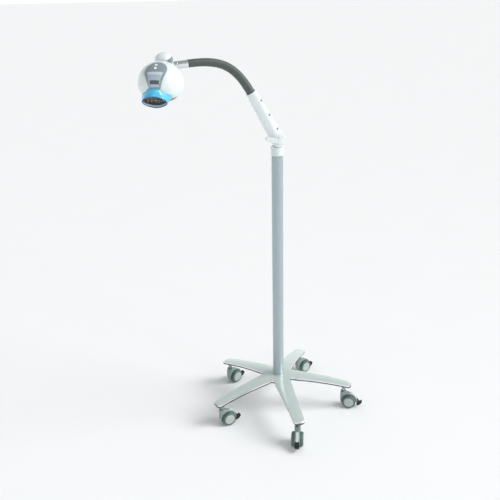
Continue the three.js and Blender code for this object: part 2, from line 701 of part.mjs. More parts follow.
function shroudBody(growth) {
  const backs = [SHROUD_LENGTH, SHOULDER_BACK, 17, 9, 3, 0];
  const rings = backs.map((back) => {
    const share = THREE.MathUtils.smoothstep(-back, -SHOULDER_BACK, 0);
    const low = mix(-22, -MOUTH_HALF_HEIGHT, share);
    const high = mix(SHROUD_NECK, MOUTH_HALF_HEIGHT, share);
    const outline = symmetrical(low, high, (height) => {
      const eye = eyeWidth(height, MOUTH_HALF_WIDTH, MOUTH_HALF_HEIGHT);
      return mix(bellWidth(height), eye, share);
    });
    return beamRing(back + (back === SHROUD_LENGTH ? growth : 0), grown(outline, growth));
  });
  return loft(rings);
}

function duct(back, front, shrink) {
  const outline = symmetrical(-DUCT_HALF_HEIGHT, DUCT_HALF_HEIGHT, (height) => {
    return eyeWidth(height, DUCT_HALF_WIDTH, DUCT_HALF_HEIGHT);
  });
  return loft([back, front].map((distance) => beamRing(distance, grown(outline, -shrink))));
}

// A block square to the beam, with its front face at a distance behind the mouth.
function beamBlock(back, thickness, width, height) {
  const block = box(thickness, width, height, -thickness / 2, 0, 0);
  const dip = THREE.MathUtils.degToRad(BEAM_DIP);
  const place = beamPoint(-back, 0, 0);
  return block.rotateY(dip).translate(place.x, place.y, place.z);
}

function makeHeadShell() {
  const hollow = cut(egg(-SHELL_WALL), saddle(SHELL_WALL));
  const below = rimSlab(-200, 0);
  return cut(egg(0), saddle(0), hollow, below, shroudBody(SHROUD_GAP), spigotRoom());
}

function makeUnderside() {
  const outer = common(egg(-SHELL_WALL - GAP), rimSlab(-TRAY_DEPTH, 4));
  const inner = common(egg(-2 * SHELL_WALL), rimSlab(-TRAY_DEPTH + SHELL_WALL, 4 + OVERRUN));
  return cut(outer, inner, shroudBody(SHROUD_GAP));
}

// The panel, its window and display are layers that lie on the shell, cut out by outlines
// that look along a line between forward and up. Outlines run [left-right, up the slope].
function panelPrism(points) {
  const shape = prism(points, 0, 140);
  const toFront = new THREE.Matrix4().makeBasis(
    new THREE.Vector3(0, 1, 0),
    new THREE.Vector3(-Math.SQRT1_2, 0, Math.SQRT1_2),
    new THREE.Vector3(Math.SQRT1_2, 0, Math.SQRT1_2),
  );
  return shape.applyMatrix4(toFront);
}

function panelLayer() {
  return cut(egg(PANEL_LIFT + PANEL_SKIN), egg(PANEL_LIFT));
}

// A teardrop, round above and drawn in to a narrow foot below.
function teardrop(inset) {
  const width = 31 - inset;
  return [
    ...arc(0, PANEL_SLOPE, width, -8, 188, 10),
    [-15 + inset, PANEL_SLOPE - 48 + inset],
    [15 - inset, PANEL_SLOPE - 48 + inset],
  ];
}

function windowOutline(inset) {
  return [
    [-24 + inset, WINDOW_TOP - inset], [24 - inset, WINDOW_TOP - inset],
    [13.5 - inset, WINDOW_TOP - 40 + inset], [-13.5 + inset, WINDOW_TOP - 40 + inset],
  ];
}

function displayOutline(inset) {
  return [
    [-14 + inset, DISPLAY_TOP - inset], [14 - inset, DISPLAY_TOP - inset],
    [12.5 - inset, DISPLAY_TOP - 9 + inset], [-12.5 + inset, DISPLAY_TOP - 9 + inset],
  ];
}

function buttonShape(slope, radius) {
  return panelPrism(arc(0, slope, radius, 0, 330, 11));
}

function makePanel() {
  const holes = BUTTON_SLOPES.map((slope) => buttonShape(slope, BUTTON_RADIUS + GAP));
  const sheet = common(panelLayer(), panelPrism(teardrop(0)));
  return cut(sheet, panelPrism(windowOutline(-GAP)), shroudBody(SHROUD_GAP), ...holes);
}

function makeButton(slope) {
  const layer = cut(egg(PANEL_LIFT + PANEL_SKIN + 1), egg(PANEL_LIFT + 0.8));
  return common(layer, buttonShape(slope, BUTTON_RADIUS));
}

function makeHeatSink() {
  const base = beamBlock(SHROUD_LENGTH + 1, 4, 56, 36);
  const fins = [-24, -16, -8, 0, 8, 16, 24].map((side) => {
    return beamBlock(SHROUD_LENGTH + 4, 15, 2, 36).translate(0, side, 0);
  });
  return join(base, ...fins);
}

// ---------------------------------------------------------------- assembly
function knuckleCentre() {
  const ahead = NECK_END.clone().sub(NECK_CREST).normalize();
  return NECK_END.clone().add(ahead.multiplyScalar(KNUCKLE_REACH));
}

function knuckleFrame() {
  const toNeck = NECK_CREST.clone().sub(NECK_END).normalize();
  const yAxis = new THREE.Vector3(0, 1, 0);
  const zAxis = toNeck.clone().cross(yAxis);
  return new THREE.Matrix4().makeBasis(toNeck, yAxis, zAxis).setPosition(knuckleCentre());
}

function framedGroup(matrix) {
  const group = new THREE.Group();
  matrix.decompose(group.position, group.quaternion, group.scale);
  return group;
}

const group = new THREE.Group();

const stand = new THREE.Group();
addPart(stand, 'base_star', makeStar(), polishedAluminium);
addPart(stand, 'hub_bolt', makeHubBolt(), steel);
addPart(stand, 'column_tube', makeColumn(), satinGrey);
addPart(stand, 'power_inlet', makeInlet(), pedalBlack);
legAngles().forEach((angle, i) => {
  stand.add(makeCaster(i + 1, angle, CASTER_HEADINGS[i]));
});
group.add(stand);

addPart(group, 'elbow_base', makeElbowBase(), whitePlastic);

const arm = new THREE.Group();
arm.position.copy(PIVOT);
arm.rotation.y = -THREE.MathUtils.degToRad(ARM_LEAN);
addPart(arm, 'arm_shell_front', makeArmHalf(true), whitePlastic);
addPart(arm, 'arm_shell_rear', makeArmHalf(false), whitePlastic);
screwFrames().forEach((frame, i) => {
  const screw = addPart(arm, `arm_screw_${i + 1}`, makeArmScrew(), steel);
  frame.decompose(screw.position, screw.quaternion, screw.scale);
});
group.add(arm);

const clamp = new THREE.Group();
clamp.position.copy(PIVOT);
addPart(clamp, 'pivot_bolt', makePivotBolt(), steel);
addPart(clamp, 'clamp_lever', makeClampLever(), whitePlastic);
group.add(clamp);

const fitting = framedGroup(frameAlong(neckStart, neckRise));
addPart(fitting, 'gooseneck_fitting', makeFitting(FIRST_LINK), steel);
group.add(fitting);
for (let i = 0; i < LINK_COUNT; i += 1) {
  const isLast = i === LINK_COUNT - 1;
  const from = neckPoint(FIRST_LINK + i * LINK_PITCH);
  const to = isLast ? NECK_END : neckPoint(FIRST_LINK + (i + 1) * LINK_PITCH);
  const radius = mix(LINK_ROOT_RADIUS, LINK_END_RADIUS, i / (LINK_COUNT - 1));
  const link = framedGroup(frameAlong(from, to));
  const geometry = makeLink(from.distanceTo(to), radius, !isLast);
  addPart(link, `gooseneck_link_${i + 1}`, geometry, neckGrey);
  group.add(link);
}

const knuckle = framedGroup(knuckleFrame());
addPart(knuckle, 'ferrule', makeFerrule(), chrome);
addPart(knuckle, 'knuckle_body', makeKnuckleBody(), whitePlastic);
addPart(knuckle, 'knuckle_cap', makeKnuckleCap(), whitePlastic);
group.add(knuckle);

const head = new THREE.Group();
head.position.copy(HEAD_CENTRE);
head.rotation.z = THREE.MathUtils.degToRad(HEAD_HEADING);
addPart(head, 'head_shell', makeHeadShell(), whitePlastic);
addPart(head, 'head_underside', makeUnderside(), undersideGrey);
addPart(head, 'control_panel', makePanel(), panelGrey);
addPart(head, 'panel_window', cut(
  common(panelLayer(), panelPrism(windowOutline(0))),
  panelPrism(displayOutline(-GAP)),
), panelBlue);
addPart(head, 'display', common(panelLayer(), panelPrism(displayOutline(0))), displayDark);
addPart(head, 'button_power', makeButton(BUTTON_SLOPES[0]), buttonSilver);
addPart(head, 'button_timer', makeButton(BUTTON_SLOPES[1]), buttonSilver);
addPart(head, 'light_shroud', cut(
  shroudBody(0),
  duct(SHROUD_LENGTH + OVERRUN, -OVERRUN, 0),
), shroudCyan);
addPart(head, 'light_window', duct(8, 5.5, GAP), clearPlate);
addPart(head, 'led_board', beamBlock(SHROUD_LENGTH - 3, 2, 40, 20), boardGreen);
addPart(head, 'heat_sink', makeHeatSink(), steel);
addPart(head, 'control_board', box(56, 60, 1.6, -8, 0, 14), boardGreen);
group.add(head);

export default group;
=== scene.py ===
# %% [markdown]
# # A mobile dental light
# A dental light on wheels has three jobs in one object: a low, heavy star base that can't tip, a
# column and a flexible neck that put the lamp where the dentist wants it, and a closed lamp head
# with a hooded mouth that keeps the light out of the patient's eyes.
#
# The frame holds the engineering model: every body, joint and size. Each cell below makes one
# finished piece around it. Sizes are in millimetres while a piece is drawn, because that is how
# such a thing is dimensioned, and each piece is scaled to metres when it is put in place.

# %% Frame and tools
import json
import math

import bmesh
import bpy
from mathutils import Matrix, Vector


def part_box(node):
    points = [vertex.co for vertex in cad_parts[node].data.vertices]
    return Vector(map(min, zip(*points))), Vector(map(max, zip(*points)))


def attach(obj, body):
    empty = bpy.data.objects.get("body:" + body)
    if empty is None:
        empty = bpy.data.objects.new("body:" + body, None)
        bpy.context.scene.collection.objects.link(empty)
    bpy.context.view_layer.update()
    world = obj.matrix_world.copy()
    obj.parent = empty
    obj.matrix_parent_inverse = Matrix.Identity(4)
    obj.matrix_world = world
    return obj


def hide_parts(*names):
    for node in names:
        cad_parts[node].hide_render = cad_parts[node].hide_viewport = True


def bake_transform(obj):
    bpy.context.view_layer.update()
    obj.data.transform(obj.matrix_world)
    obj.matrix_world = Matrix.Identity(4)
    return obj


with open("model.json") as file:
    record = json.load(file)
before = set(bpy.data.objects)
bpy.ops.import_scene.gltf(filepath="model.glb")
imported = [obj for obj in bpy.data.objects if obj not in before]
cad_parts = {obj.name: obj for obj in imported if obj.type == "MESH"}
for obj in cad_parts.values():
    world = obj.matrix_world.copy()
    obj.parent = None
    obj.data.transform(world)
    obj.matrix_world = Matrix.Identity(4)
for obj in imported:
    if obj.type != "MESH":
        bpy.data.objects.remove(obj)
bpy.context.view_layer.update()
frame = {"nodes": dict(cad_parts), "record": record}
joints = {joint["name"]: joint for joint in frame["record"]["behaviour"]["joints"]}

# %% [markdown]
# ## Small helpers
# Almost everything on this lamp is either turned (wheels, ferrule, column, dome), cut from a
# plate (pedals, hoods, lever), or lofted (arm, neck, light shroud). One helper for each of those
# keeps the later cells short. They all return a bmesh in millimetres, closed and facing out.
# A real moulded edge is never razor sharp, so the helpers round their corners: that thin
# highlight along every edge is most of what makes a part look manufactured.

# %% Helpers: units and smooth steps
MM = 0.001
TURNED_STEPS = 64
ABOUT_X = Matrix.Rotation(math.pi / 2, 4, 'X')
ABOUT_Y = Matrix.Rotation(math.pi / 2, 4, 'Y')


def mix(low, high, share):
    return low + (high - low) * share


def smoothstep(low, high, value):
    share = min(max((value - low) / (high - low), 0.0), 1.0)
    return share * share * (3 - 2 * share)


print("halfway from 2 to 6 is", mix(2, 6, 0.5))

# %% Helpers: rounded corners and arcs
def rounded(points, radius, steps=3, closed=False):
    """The same polyline with each corner replaced by a short curve."""
    result = []
    count = len(points)
    for i, corner in enumerate(points):
        if not closed and i in (0, count - 1):
            result.append(Vector(corner))
            continue
        here = Vector(corner)
        before = Vector(points[i - 1]) - here
        after = Vector(points[(i + 1) % count]) - here
        reach = min(radius, before.length * 0.45, after.length * 0.45)
        start = here + before.normalized() * reach
        end = here + after.normalized() * reach
        for k in range(steps + 1):
            share = k / steps
            result.append(start.lerp(here, share).lerp(here.lerp(end, share), share))
    return result


def arc(x, y, radius, start, end, steps):
    """Points of an arc in degrees, both ends included."""
    angles = [math.radians(mix(start, end, i / steps)) for i in range(steps + 1)]
    return [(x + radius * math.cos(a), y + radius * math.sin(a)) for a in angles]


print("a rounded corner has", len(rounded([(0, 0), (9, 0), (9, 9)], 2)) - 2, "points")

# %% Helpers: clean up and move
def tidy(bm):
    """Merges what lies on itself, such as a spin's poles, and turns every face outwards."""
    bmesh.ops.remove_doubles(bm, verts=bm.verts, dist=1e-4)
    bmesh.ops.dissolve_degenerate(bm, edges=bm.edges, dist=1e-5)
    bmesh.ops.recalc_face_normals(bm, faces=bm.faces)
    return bm


def moved(bm, matrix):
    bmesh.ops.transform(bm, matrix=matrix, verts=bm.verts)
    if matrix.determinant() < 0:
        bmesh.ops.recalc_face_normals(bm, faces=bm.faces)
    return bm


print("clean-up helpers ready")

# %% Helpers: turned pieces
def turned(profile, radius=0.8, steps=TURNED_STEPS):
    """A turned piece about Z from (radius, height) points that run from its bottom to its top."""
    bm = bmesh.new()
    line = [bm.verts.new((point[0], 0, point[1])) for point in rounded(profile, radius)]
    edges = [bm.edges.new(pair) for pair in zip(line, line[1:])]
    bmesh.ops.spin(bm, geom=line + edges, cent=(0, 0, 0), axis=(0, 0, 1),
                   angle=2 * math.pi, steps=steps, use_merge=True)
    return tidy(bm)


def rod(radius, low, high, bevel=0.1, steps=TURNED_STEPS):
    """A plain cylinder on Z between two heights."""
    return turned([(0, low), (radius, low), (radius, high), (0, high)], bevel, steps)


trial = rod(5, 0, 10)
print("a plain rod has", len(trial.faces), "faces")
trial.free()

# %% Helpers: soft edges, plates and blocks
def soften(bm, width, angle=40, steps=2):
    """Bevels every edge that is sharper than an angle."""
    sharp = [e for e in bm.edges
             if len(e.link_faces) == 2 and e.calc_face_angle(0) > math.radians(angle)]
    bmesh.ops.bevel(bm, geom=sharp, offset=width, segments=steps, profile=0.5,
                    affect='EDGES', clamp_overlap=True, material=-1)
    return bm


def plate(outline, low, high, bevel=0.8, steps=2):
    """A plate that stands on an outline in the XY plane, between two heights."""
    bm = bmesh.new()
    face = bm.faces.new([bm.verts.new((point[0], point[1], low)) for point in outline])
    grown = bmesh.ops.extrude_face_region(bm, geom=[face])
    top = [item for item in grown["geom"] if isinstance(item, bmesh.types.BMVert)]
    bmesh.ops.translate(bm, vec=(0, 0, high - low), verts=top)
    bmesh.ops.recalc_face_normals(bm, faces=bm.faces)
    if bevel:
        caps = [f for f in bm.faces if abs(f.normal.z) > 0.9]
        edges = {e for f in caps for e in f.edges}
        bmesh.ops.bevel(bm, geom=list(edges), offset=bevel, segments=steps, profile=0.5,
                        affect='EDGES', clamp_overlap=True, material=-1)
    return bm


def block(width, depth, height, centre=(0, 0, 0), bevel=0.6):
    bm = bmesh.new()
    bmesh.ops.create_cube(bm, size=1)
    bmesh.ops.scale(bm, vec=(width, depth, height), verts=bm.verts)
    bmesh.ops.translate(bm, vec=centre, verts=bm.verts)
    return soften(bm, bevel) if bevel else bm


trial = block(9, 9, 9)
print("a softened cube has", len(trial.faces), "faces")
trial.free()

# %% Helpers: lofts and shells put together
def loft(rings, caps=True):
    """A skin over rings of equal length, each made from a circle that is pulled to its shape."""
    bm = bmesh.new()
    loops = []
    for ring in rings:
        made = bmesh.ops.create_circle(bm, segments=len(ring), radius=1, cap_ends=False)["verts"]
        for vert, point in zip(made, ring):
            vert.co = point
        edges = {e for v in made for e in v.link_edges}
        loops.append(list(edges))
    for low, high in zip(loops, loops[1:]):
        bmesh.ops.bridge_loops(bm, edges=low + high)
    if caps:
        for loop in (loops[0], loops[-1]):
            bmesh.ops.contextual_create(bm, geom=loop)
    bmesh.ops.recalc_face_normals(bm, faces=bm.faces)
    return bm


def together(*pieces):
    """Several closed shells as one mesh."""
    whole = bmesh.new()
    for bm in pieces:
        mesh = bpy.data.meshes.new("part")
        bm.to_mesh(mesh)
        whole.from_mesh(mesh)
        bpy.data.meshes.remove(mesh)
    return whole


print("loft helpers ready")

# %% [markdown]
# ## Cutting holes
# A few pieces have openings that follow another piece: the shell is open where the shroud comes
# out, and the arm has a slot for the elbow. The real ones are moulded round a steel insert of that
# shape. A Boolean does the same in a mesh: it subtracts the insert. Here it is evaluated once, and
# the finished mesh keeps no modifier.

# %% Helper: carve one solid with others
def as_object(bm, name="blank"):
    mesh = bpy.data.meshes.new(name)
    bm.to_mesh(mesh)
    obj = bpy.data.objects.new(name, mesh)
    bpy.context.scene.collection.objects.link(obj)
    return obj


def carved(blank, cut=(), add=(), keep=()):
    """The blank joined with add, cut by cut and kept only where it is inside keep."""
    base = as_object(blank)
    tools = []
    for operation, solids in (('UNION', add), ('DIFFERENCE', cut), ('INTERSECT', keep)):
        for solid in solids:
            tool = as_object(solid)
            tools.append(tool)
            modifier = base.modifiers.new("carve", 'BOOLEAN')
            modifier.operation = operation
            modifier.solver = 'EXACT'
            modifier.object = tool
    depsgraph = bpy.context.evaluated_depsgraph_get()
    result = bmesh.new()
    result.from_object(base, depsgraph)
    for obj in (base, *tools):
        mesh = obj.data
        bpy.data.objects.remove(obj)
        bpy.data.meshes.remove(mesh)
    bmesh.ops.remove_doubles(result, verts=result.verts, dist=1e-3)
    bmesh.ops.dissolve_degenerate(result, edges=result.edges, dist=1e-3)
    return result


print("carving ready")

# %% [markdown]
# ## Finishes
# Each finish is a small node tree: a colour that drifts very slightly over the surface, a
# roughness that drifts a little more, and a fine bump. Plastic and painted metal are never one flat
# number, and it is the roughness that the eye reads first: fingerprints, mould texture and polish
# all live there. The patterns read Object coordinates, so they stay fixed to each piece.

# %% Finish maker
GRAIN = 1800


def linear(red, green, blue):
    """A colour given 0 to 255, as the shader wants it."""
    def one(value):
        value /= 255
        return value / 12.92 if value <= 0.04045 else ((value + 0.055) / 1.055) ** 2.4
    return (one(red), one(green), one(blue), 1.0)


def finish(name, colour, roughness, metallic=0.0, drift=0.05, wander=0.06, scale=60,
           bump=0.00002, stretch=(1, 1, 1), **sockets):
    """A finish with a drifting colour, a wandering roughness and a fine grain."""
    material = bpy.data.materials.new(name)
    material.use_nodes = True
    nodes = material.node_tree.nodes
    links = material.node_tree.links
    shader = nodes["Principled BSDF"]
    shader.inputs["Metallic"].default_value = metallic
    for socket, value in sockets.items():
        shader.inputs[socket.replace("_", " ")].default_value = value
    place = nodes.new("ShaderNodeTexCoord")
    turn = nodes.new("ShaderNodeMapping")
    turn.inputs["Scale"].default_value = stretch
    links.new(place.outputs["Object"], turn.inputs["Vector"])
    broad = nodes.new("ShaderNodeTexNoise")
    broad.inputs["Scale"].default_value = scale
    broad.inputs["Detail"].default_value = 4
    fine = nodes.new("ShaderNodeTexNoise")
    fine.inputs["Scale"].default_value = GRAIN
    fine.inputs["Detail"].default_value = 2
    for noise in (broad, fine):
        links.new(turn.outputs["Vector"], noise.inputs["Vector"])
    ramp = nodes.new("ShaderNodeValToRGB")
    base = linear(*colour)
    for stop, place_on, gain in zip(ramp.color_ramp.elements, (0.3, 0.7), (1 - drift, 1 + drift)):
        stop.position = place_on
        stop.color = (*(min(c * gain, 1) for c in base[:3]), 1)
    links.new(broad.outputs["Fac"], ramp.inputs["Fac"])
    links.new(ramp.outputs["Color"], shader.inputs["Base Color"])
    spread = nodes.new("ShaderNodeMapRange")
    spread.inputs["To Min"].default_value = max(roughness - wander, 0.02)
    spread.inputs["To Max"].default_value = min(roughness + wander, 1.0)
    links.new(broad.outputs["Fac"], spread.inputs["Value"])
    links.new(spread.outputs["Result"], shader.inputs["Roughness"])
    relief = nodes.new("ShaderNodeBump")
    relief.inputs["Strength"].default_value = 0.5
    relief.inputs["Distance"].default_value = bump
    links.new(fine.outputs["Fac"], relief.inputs["Height"])
    links.new(relief.outputs["Normal"], shader.inputs["Normal"])
    return material


print("finish maker ready")

# %% [markdown]
# The base is die-cast aluminium, polished on top. The upper half of its edge is painted bright as a
# highlight, and its lower sides and underside are painted dark as reflection and shade. The column
# is satin grey, the arm and the head are glossy white ABS, and the neck is covered by dark ribbed
# PVC.
# The hoods, tyres and wheel caps of the casters are three different greys of nylon.

# %% Finishes of this lamp
aluminium = finish("polished aluminium", (216, 229, 224), 0.2, 0.45, drift=0.03, scale=26)
# Painted light on the base: a bright highlight along the upper half of its edge, and a dark
# reflection and shade on its lower sides and underside.
rim_highlight_paint = finish("rim painted highlight", (240, 244, 245), 0.16, 0.9, drift=0.03, scale=40)
side_shade_paint = finish("aluminium side painted dark", (92, 90, 108), 0.34, 0.8, drift=0.12, scale=40)
satin = finish("satin grey column", (170, 184, 189), 0.3, 0.45, drift=0.03, scale=18,
               stretch=(1, 1, 0.08))
gloss = finish("glossy white plastic", (222, 230, 230), 0.2, drift=0.012, scale=35,
               Coat_Weight=0.25, Coat_Roughness=0.08)
hood_grey = finish("grey caster hood", (132, 148, 145), 0.22, drift=0.06, Coat_Weight=0.4)
tyre_grey = finish("grey-green tyre", (84, 106, 100), 0.5, drift=0.1, bump=0.00005)
cap_grey = finish("wheel cap", (176, 187, 182), 0.32, drift=0.05)
pedal_black = finish("black pedal", (26, 34, 34), 0.4, drift=0.15, bump=0.00004)
neck_skin = finish("ribbed neck skin", (74, 84, 79), 0.36, drift=0.1, scale=90, bump=0.00004)
chrome = finish("chromed sleeve", (222, 228, 230), 0.1, 1.0, drift=0.015, wander=0.04)
steel = finish("turned steel", (168, 176, 178), 0.28, 1.0, drift=0.05, scale=120)
underside = finish("underside grey", (128, 119, 112), 0.4, drift=0.08)
panel_grey = finish("panel grey", (144, 159, 166), 0.3, 0.25, drift=0.03)
window_blue = finish("panel window", (172, 188, 202), 0.12, 0.1, drift=0.04, Coat_Weight=0.6)
display_dark = finish("dark display", (66, 76, 86), 0.1, drift=0.08, Coat_Weight=0.8)
key_silver = finish("silver key", (238, 241, 242), 0.28, 0.15, drift=0.02)
# Painted reflection: a paler strip over the top of the panel window, as light reflected by its
# glass.
window_highlight_paint = finish("window painted reflection", (202, 213, 218), 0.2, 0.1, drift=0.03, Coat_Weight=0.4)
cyan = finish("cyan shroud", (82, 188, 226), 0.26, drift=0.03, Coat_Weight=0.3,
              Subsurface_Weight=0.1, Subsurface_Scale=0.004)
deep_blue = finish("deep blue lip", (8, 104, 172), 0.24, drift=0.05, Coat_Weight=0.3)
reflector = finish("reflector metal", (112, 108, 78), 0.16, 0.95, drift=0.25, scale=240)
# Painted shade: near black for the inside of the duct, where shade falls.
duct_shade_paint = finish("duct painted shade", (26, 25, 23), 0.35, drift=0.3, scale=200)
# Painted highlight: a light colour for the ridge over each caster hood, standing in for the light
# it catches.
hood_highlight_paint = finish("hood ridge painted highlight", (206, 216, 216), 0.14, drift=0.03, Coat_Weight=0.5)
# Painted shadow: a grey for the turntable and the wedge under the knuckle's dome, where shade
# falls.
shadow_grey_paint = finish("painted shadow grey", (124, 138, 135), 0.3, drift=0.04, Coat_Weight=0.2)
screw_grey = finish("screw grey", (150, 160, 160), 0.5, drift=0.06, scale=200)
# Painted light: white for the front of the duct's lower side, where light falls into the mouth.
duct_light_paint = finish("duct front painted light", (226, 232, 232), 0.35, drift=0.02)
board_green = finish("circuit board", (40, 74, 50), 0.4, drift=0.2, scale=400)
led_yellow = finish("phosphor", (226, 206, 128), 0.4, drift=0.1, scale=900)
print("finishes", len(bpy.data.materials))

# %% [markdown]
# A clear cover is glass to the eye: it is seen only by what it reflects. It needs transmission and
# a low roughness, and a little noise in that roughness stands for the dust every lamp collects. A
# dental lamp's cover is coated against reflections, so its index is set low.

# %% The clear cover's finish
cover_clear = finish("clear cover", (236, 244, 244), 0.05, drift=0.01, wander=0.03,
                     bump=0.000002, Transmission_Weight=0.96, IOR=1.14)
print("clear cover", cover_clear.name)


# %% Helper: put a piece on its body
def made(name, bm, materials, body, replaces=(), slot=None, smooth=36, paint=None):
    """Scales a bmesh to metres, shades it, and makes it a piece that rides on a body."""
    bmesh.ops.scale(bm, vec=(MM, MM, MM), verts=bm.verts)
    for face in bm.faces:
        face.smooth = True
    for edge in bm.edges:
        sharp = len(edge.link_faces) == 2 and edge.calc_face_angle(0) > math.radians(smooth)
        edge.smooth = not sharp
    if paint:
        bm.normal_update()
        for face in bm.faces:
            face.material_index = paint(face)
    obj = as_object(bm, name)
    obj.data.name = name
    bm.free()
    for material in materials if isinstance(materials, (list, tuple)) else (materials,):
        obj.data.materials.append(material)
    if replaces:
        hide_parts(*([replaces] if isinstance(replaces, str) else replaces))
    if body:
        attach(obj, body)
    print(f"{name}: {len(obj.data.polygons)} faces")
    return obj


def refinish(material, *nodes):
    """Gives carried-over engineering nodes a real finish."""
    for node in nodes:
        data = frame["nodes"][node].data
        data.materials.clear()
        data.materials.append(material)


# %% [markdown]
# ## Camera and studio
# The camera stands a little above the lamp head and looks down at 21 degrees with a slightly long
# lens, so the base is seen from above and the head almost level. A white object on white needs very
# large soft sources. Here a bright horizon that darkens towards the
# zenith plays the white room, a wide sun from the upper right is the key, and a narrow soft lamp
# near the camera puts a glint on polished edges. The darker zenith matters: it gives chrome
# something to reflect, and in an evenly white room chrome looks like chalk.

# %% Camera
right = Vector((0.9733, -0.2295, 0.0))
level = Vector((0.2295, 0.9733, 0.0))
CAMERA_PLACE = (-0.5997, -2.1335, 1.4624)
LENS = 50.4
pitch = math.radians(-21.04)
roll = math.radians(-1.18)
ahead = level * math.cos(pitch) + Vector((0, 0, 1)) * math.sin(pitch)
above = right.cross(ahead)
camera_right = right * math.cos(roll) + above * math.sin(roll)
camera_up = above * math.cos(roll) - right * math.sin(roll)
camera = bpy.data.objects.new("camera", bpy.data.cameras.new("camera"))
bpy.context.scene.collection.objects.link(camera)
placed = Matrix((camera_right, camera_up, -ahead)).transposed().to_4x4()
placed.translation = CAMERA_PLACE
camera.matrix_world = placed
camera.data.sensor_width = 36
camera.data.lens = LENS
camera.data.clip_end = 60
bpy.context.scene.camera = camera
print("camera at", tuple(round(v, 3) for v in camera.location))


# %% Floor, world and lights
SUN_POWER = 2.35
SUN_PLACE = (0.75, -0.28, 0.66)
SUN_WIDTH = math.radians(34)
FLOOR_WIDTH = 400
FLOOR_DROP = 0.0005
GLINT_WATTS = 9

bm = bmesh.new()
bmesh.ops.create_grid(bm, x_segments=1, y_segments=1, size=FLOOR_WIDTH / 2)
bmesh.ops.translate(bm, vec=(0, 0, -FLOOR_DROP), verts=bm.verts)
floor = as_object(bm, "floor")
floor.data.materials.append(finish("floor", (247, 248, 248), 0.9, bump=0.0, drift=0.004, scale=3))
world = bpy.data.worlds.new("studio")
bpy.context.scene.world = world
world.use_nodes = True
sky = world.node_tree
sky_way = sky.nodes.new("ShaderNodeTexCoord")
sky_parts = sky.nodes.new("ShaderNodeSeparateXYZ")
sky_fall = sky.nodes.new("ShaderNodeMapRange")
for socket, value in (("From Min", 0.04), ("From Max", 0.55), ("To Min", 1.14), ("To Max", 0.44)):
    sky_fall.inputs[socket].default_value = value
sky.links.new(sky_way.outputs["Generated"], sky_parts.inputs["Vector"])
sky.links.new(sky_parts.outputs["Z"], sky_fall.inputs["Value"])
sky.links.new(sky_fall.outputs["Result"], sky.nodes["Background"].inputs["Strength"])
sky.nodes["Background"].inputs["Color"].default_value = (0.975, 0.99, 1.0, 1)
sun = bpy.data.objects.new("key", bpy.data.lights.new("key", 'SUN'))
sun.data.energy = SUN_POWER
sun.data.angle = SUN_WIDTH
sun.rotation_euler = Vector(SUN_PLACE).to_track_quat('Z', 'Y').to_euler()
bpy.context.scene.collection.objects.link(sun)
glint = bpy.data.objects.new("glint", bpy.data.lights.new("glint", 'AREA'))
glint.data.shape = 'RECTANGLE'
glint.data.size, glint.data.size_y = 0.5, 1.6
glint.data.energy = GLINT_WATTS
glint.data.color = (0.96, 0.98, 1)
glint.location = (1.5, -2.6, 2.2)
glint.rotation_euler = (Vector((0, 0, 0.6)) - glint.location).to_track_quat('-Z', 'Y').to_euler()
bpy.context.scene.collection.objects.link(glint)
bpy.context.scene.view_settings.view_transform = 'Standard'

# %% [markdown]
# ## Base star
# The base is one aluminium casting with five legs, low and heavy, so that the arm can reach out
# over a patient without tipping the stand. Five bars round a disc would show sharp creases where
# they meet, and real castings flow into each other. So one fifth of the star is made from a grid:
# its sides are pulled to a width that changes along the leg, with a concave fillet by the hub and
# round corners at the tip. Five copies share their edges and merge into one skin, which is given
# its depth. The upper half of its edge is painted bright as a highlight, and the lower half and the
# underside are painted dark as reflection and shade.

# %% Leg width and height rules
LEG_COUNT = 5
LEG_FIRST = -90
LEG_LENGTH = 260
CROTCH = 45
FILLET_END = 63
FILLET_WIDTH = 28.5
TIP_CORNER = 12
TIP_HALF = 19
HUB_TOP = 131
TIP_TOP = 92
LEG_ARCH = 1.65
LEG_DEPTH = 9
HALF_SECTOR = math.radians(180 / LEG_COUNT)


def leg_half_width(reach):
    if reach <= CROTCH:
        return reach * math.tan(HALF_SECTOR)
    if reach < FILLET_END:
        share = (reach - CROTCH) / (FILLET_END - CROTCH)
        span = FILLET_END - CROTCH
        start, start_slope = CROTCH * math.tan(HALF_SECTOR), -1.376 * span
        end, end_slope = FILLET_WIDTH, -0.1 * span
        a = (1 + 2 * share) * (1 - share) ** 2
        b = share * (1 - share) ** 2
        c = share ** 2 * (3 - 2 * share)
        d = share ** 2 * (share - 1)
        return a * start + b * start_slope + c * end + d * end_slope
    if reach < LEG_LENGTH - TIP_CORNER:
        share = (reach - FILLET_END) / (LEG_LENGTH - TIP_CORNER - FILLET_END)
        return mix(FILLET_WIDTH, TIP_HALF, 1 - (1 - share) ** 1.35)
    along = reach - (LEG_LENGTH - TIP_CORNER)
    return TIP_HALF - TIP_CORNER + math.sqrt(max(TIP_CORNER ** 2 - along ** 2, 0))


def leg_top(reach):
    return mix(HUB_TOP, TIP_TOP, (min(reach, LEG_LENGTH) / LEG_LENGTH) ** LEG_ARCH)


print("half widths", [round(leg_half_width(r), 1) for r in (30, 50, 70, 130, 250)])

# %% One leg's top skin
ROWS = 64
COLUMNS = 12
CROWN = 1.6


def row_reach(row):
    """Rows are close together at the fillet and at the tip's round corners."""
    stops = [(0, 0), (10, CROTCH), (26, FILLET_END), (50, LEG_LENGTH - TIP_CORNER),
             (ROWS, LEG_LENGTH)]
    for (low, start), (high, end) in zip(stops, stops[1:]):
        if row <= high:
            share = (row - low) / (high - low)
            if high == ROWS:
                share = math.sin(share * math.pi / 2)
            return mix(start, end, share)
    return LEG_LENGTH


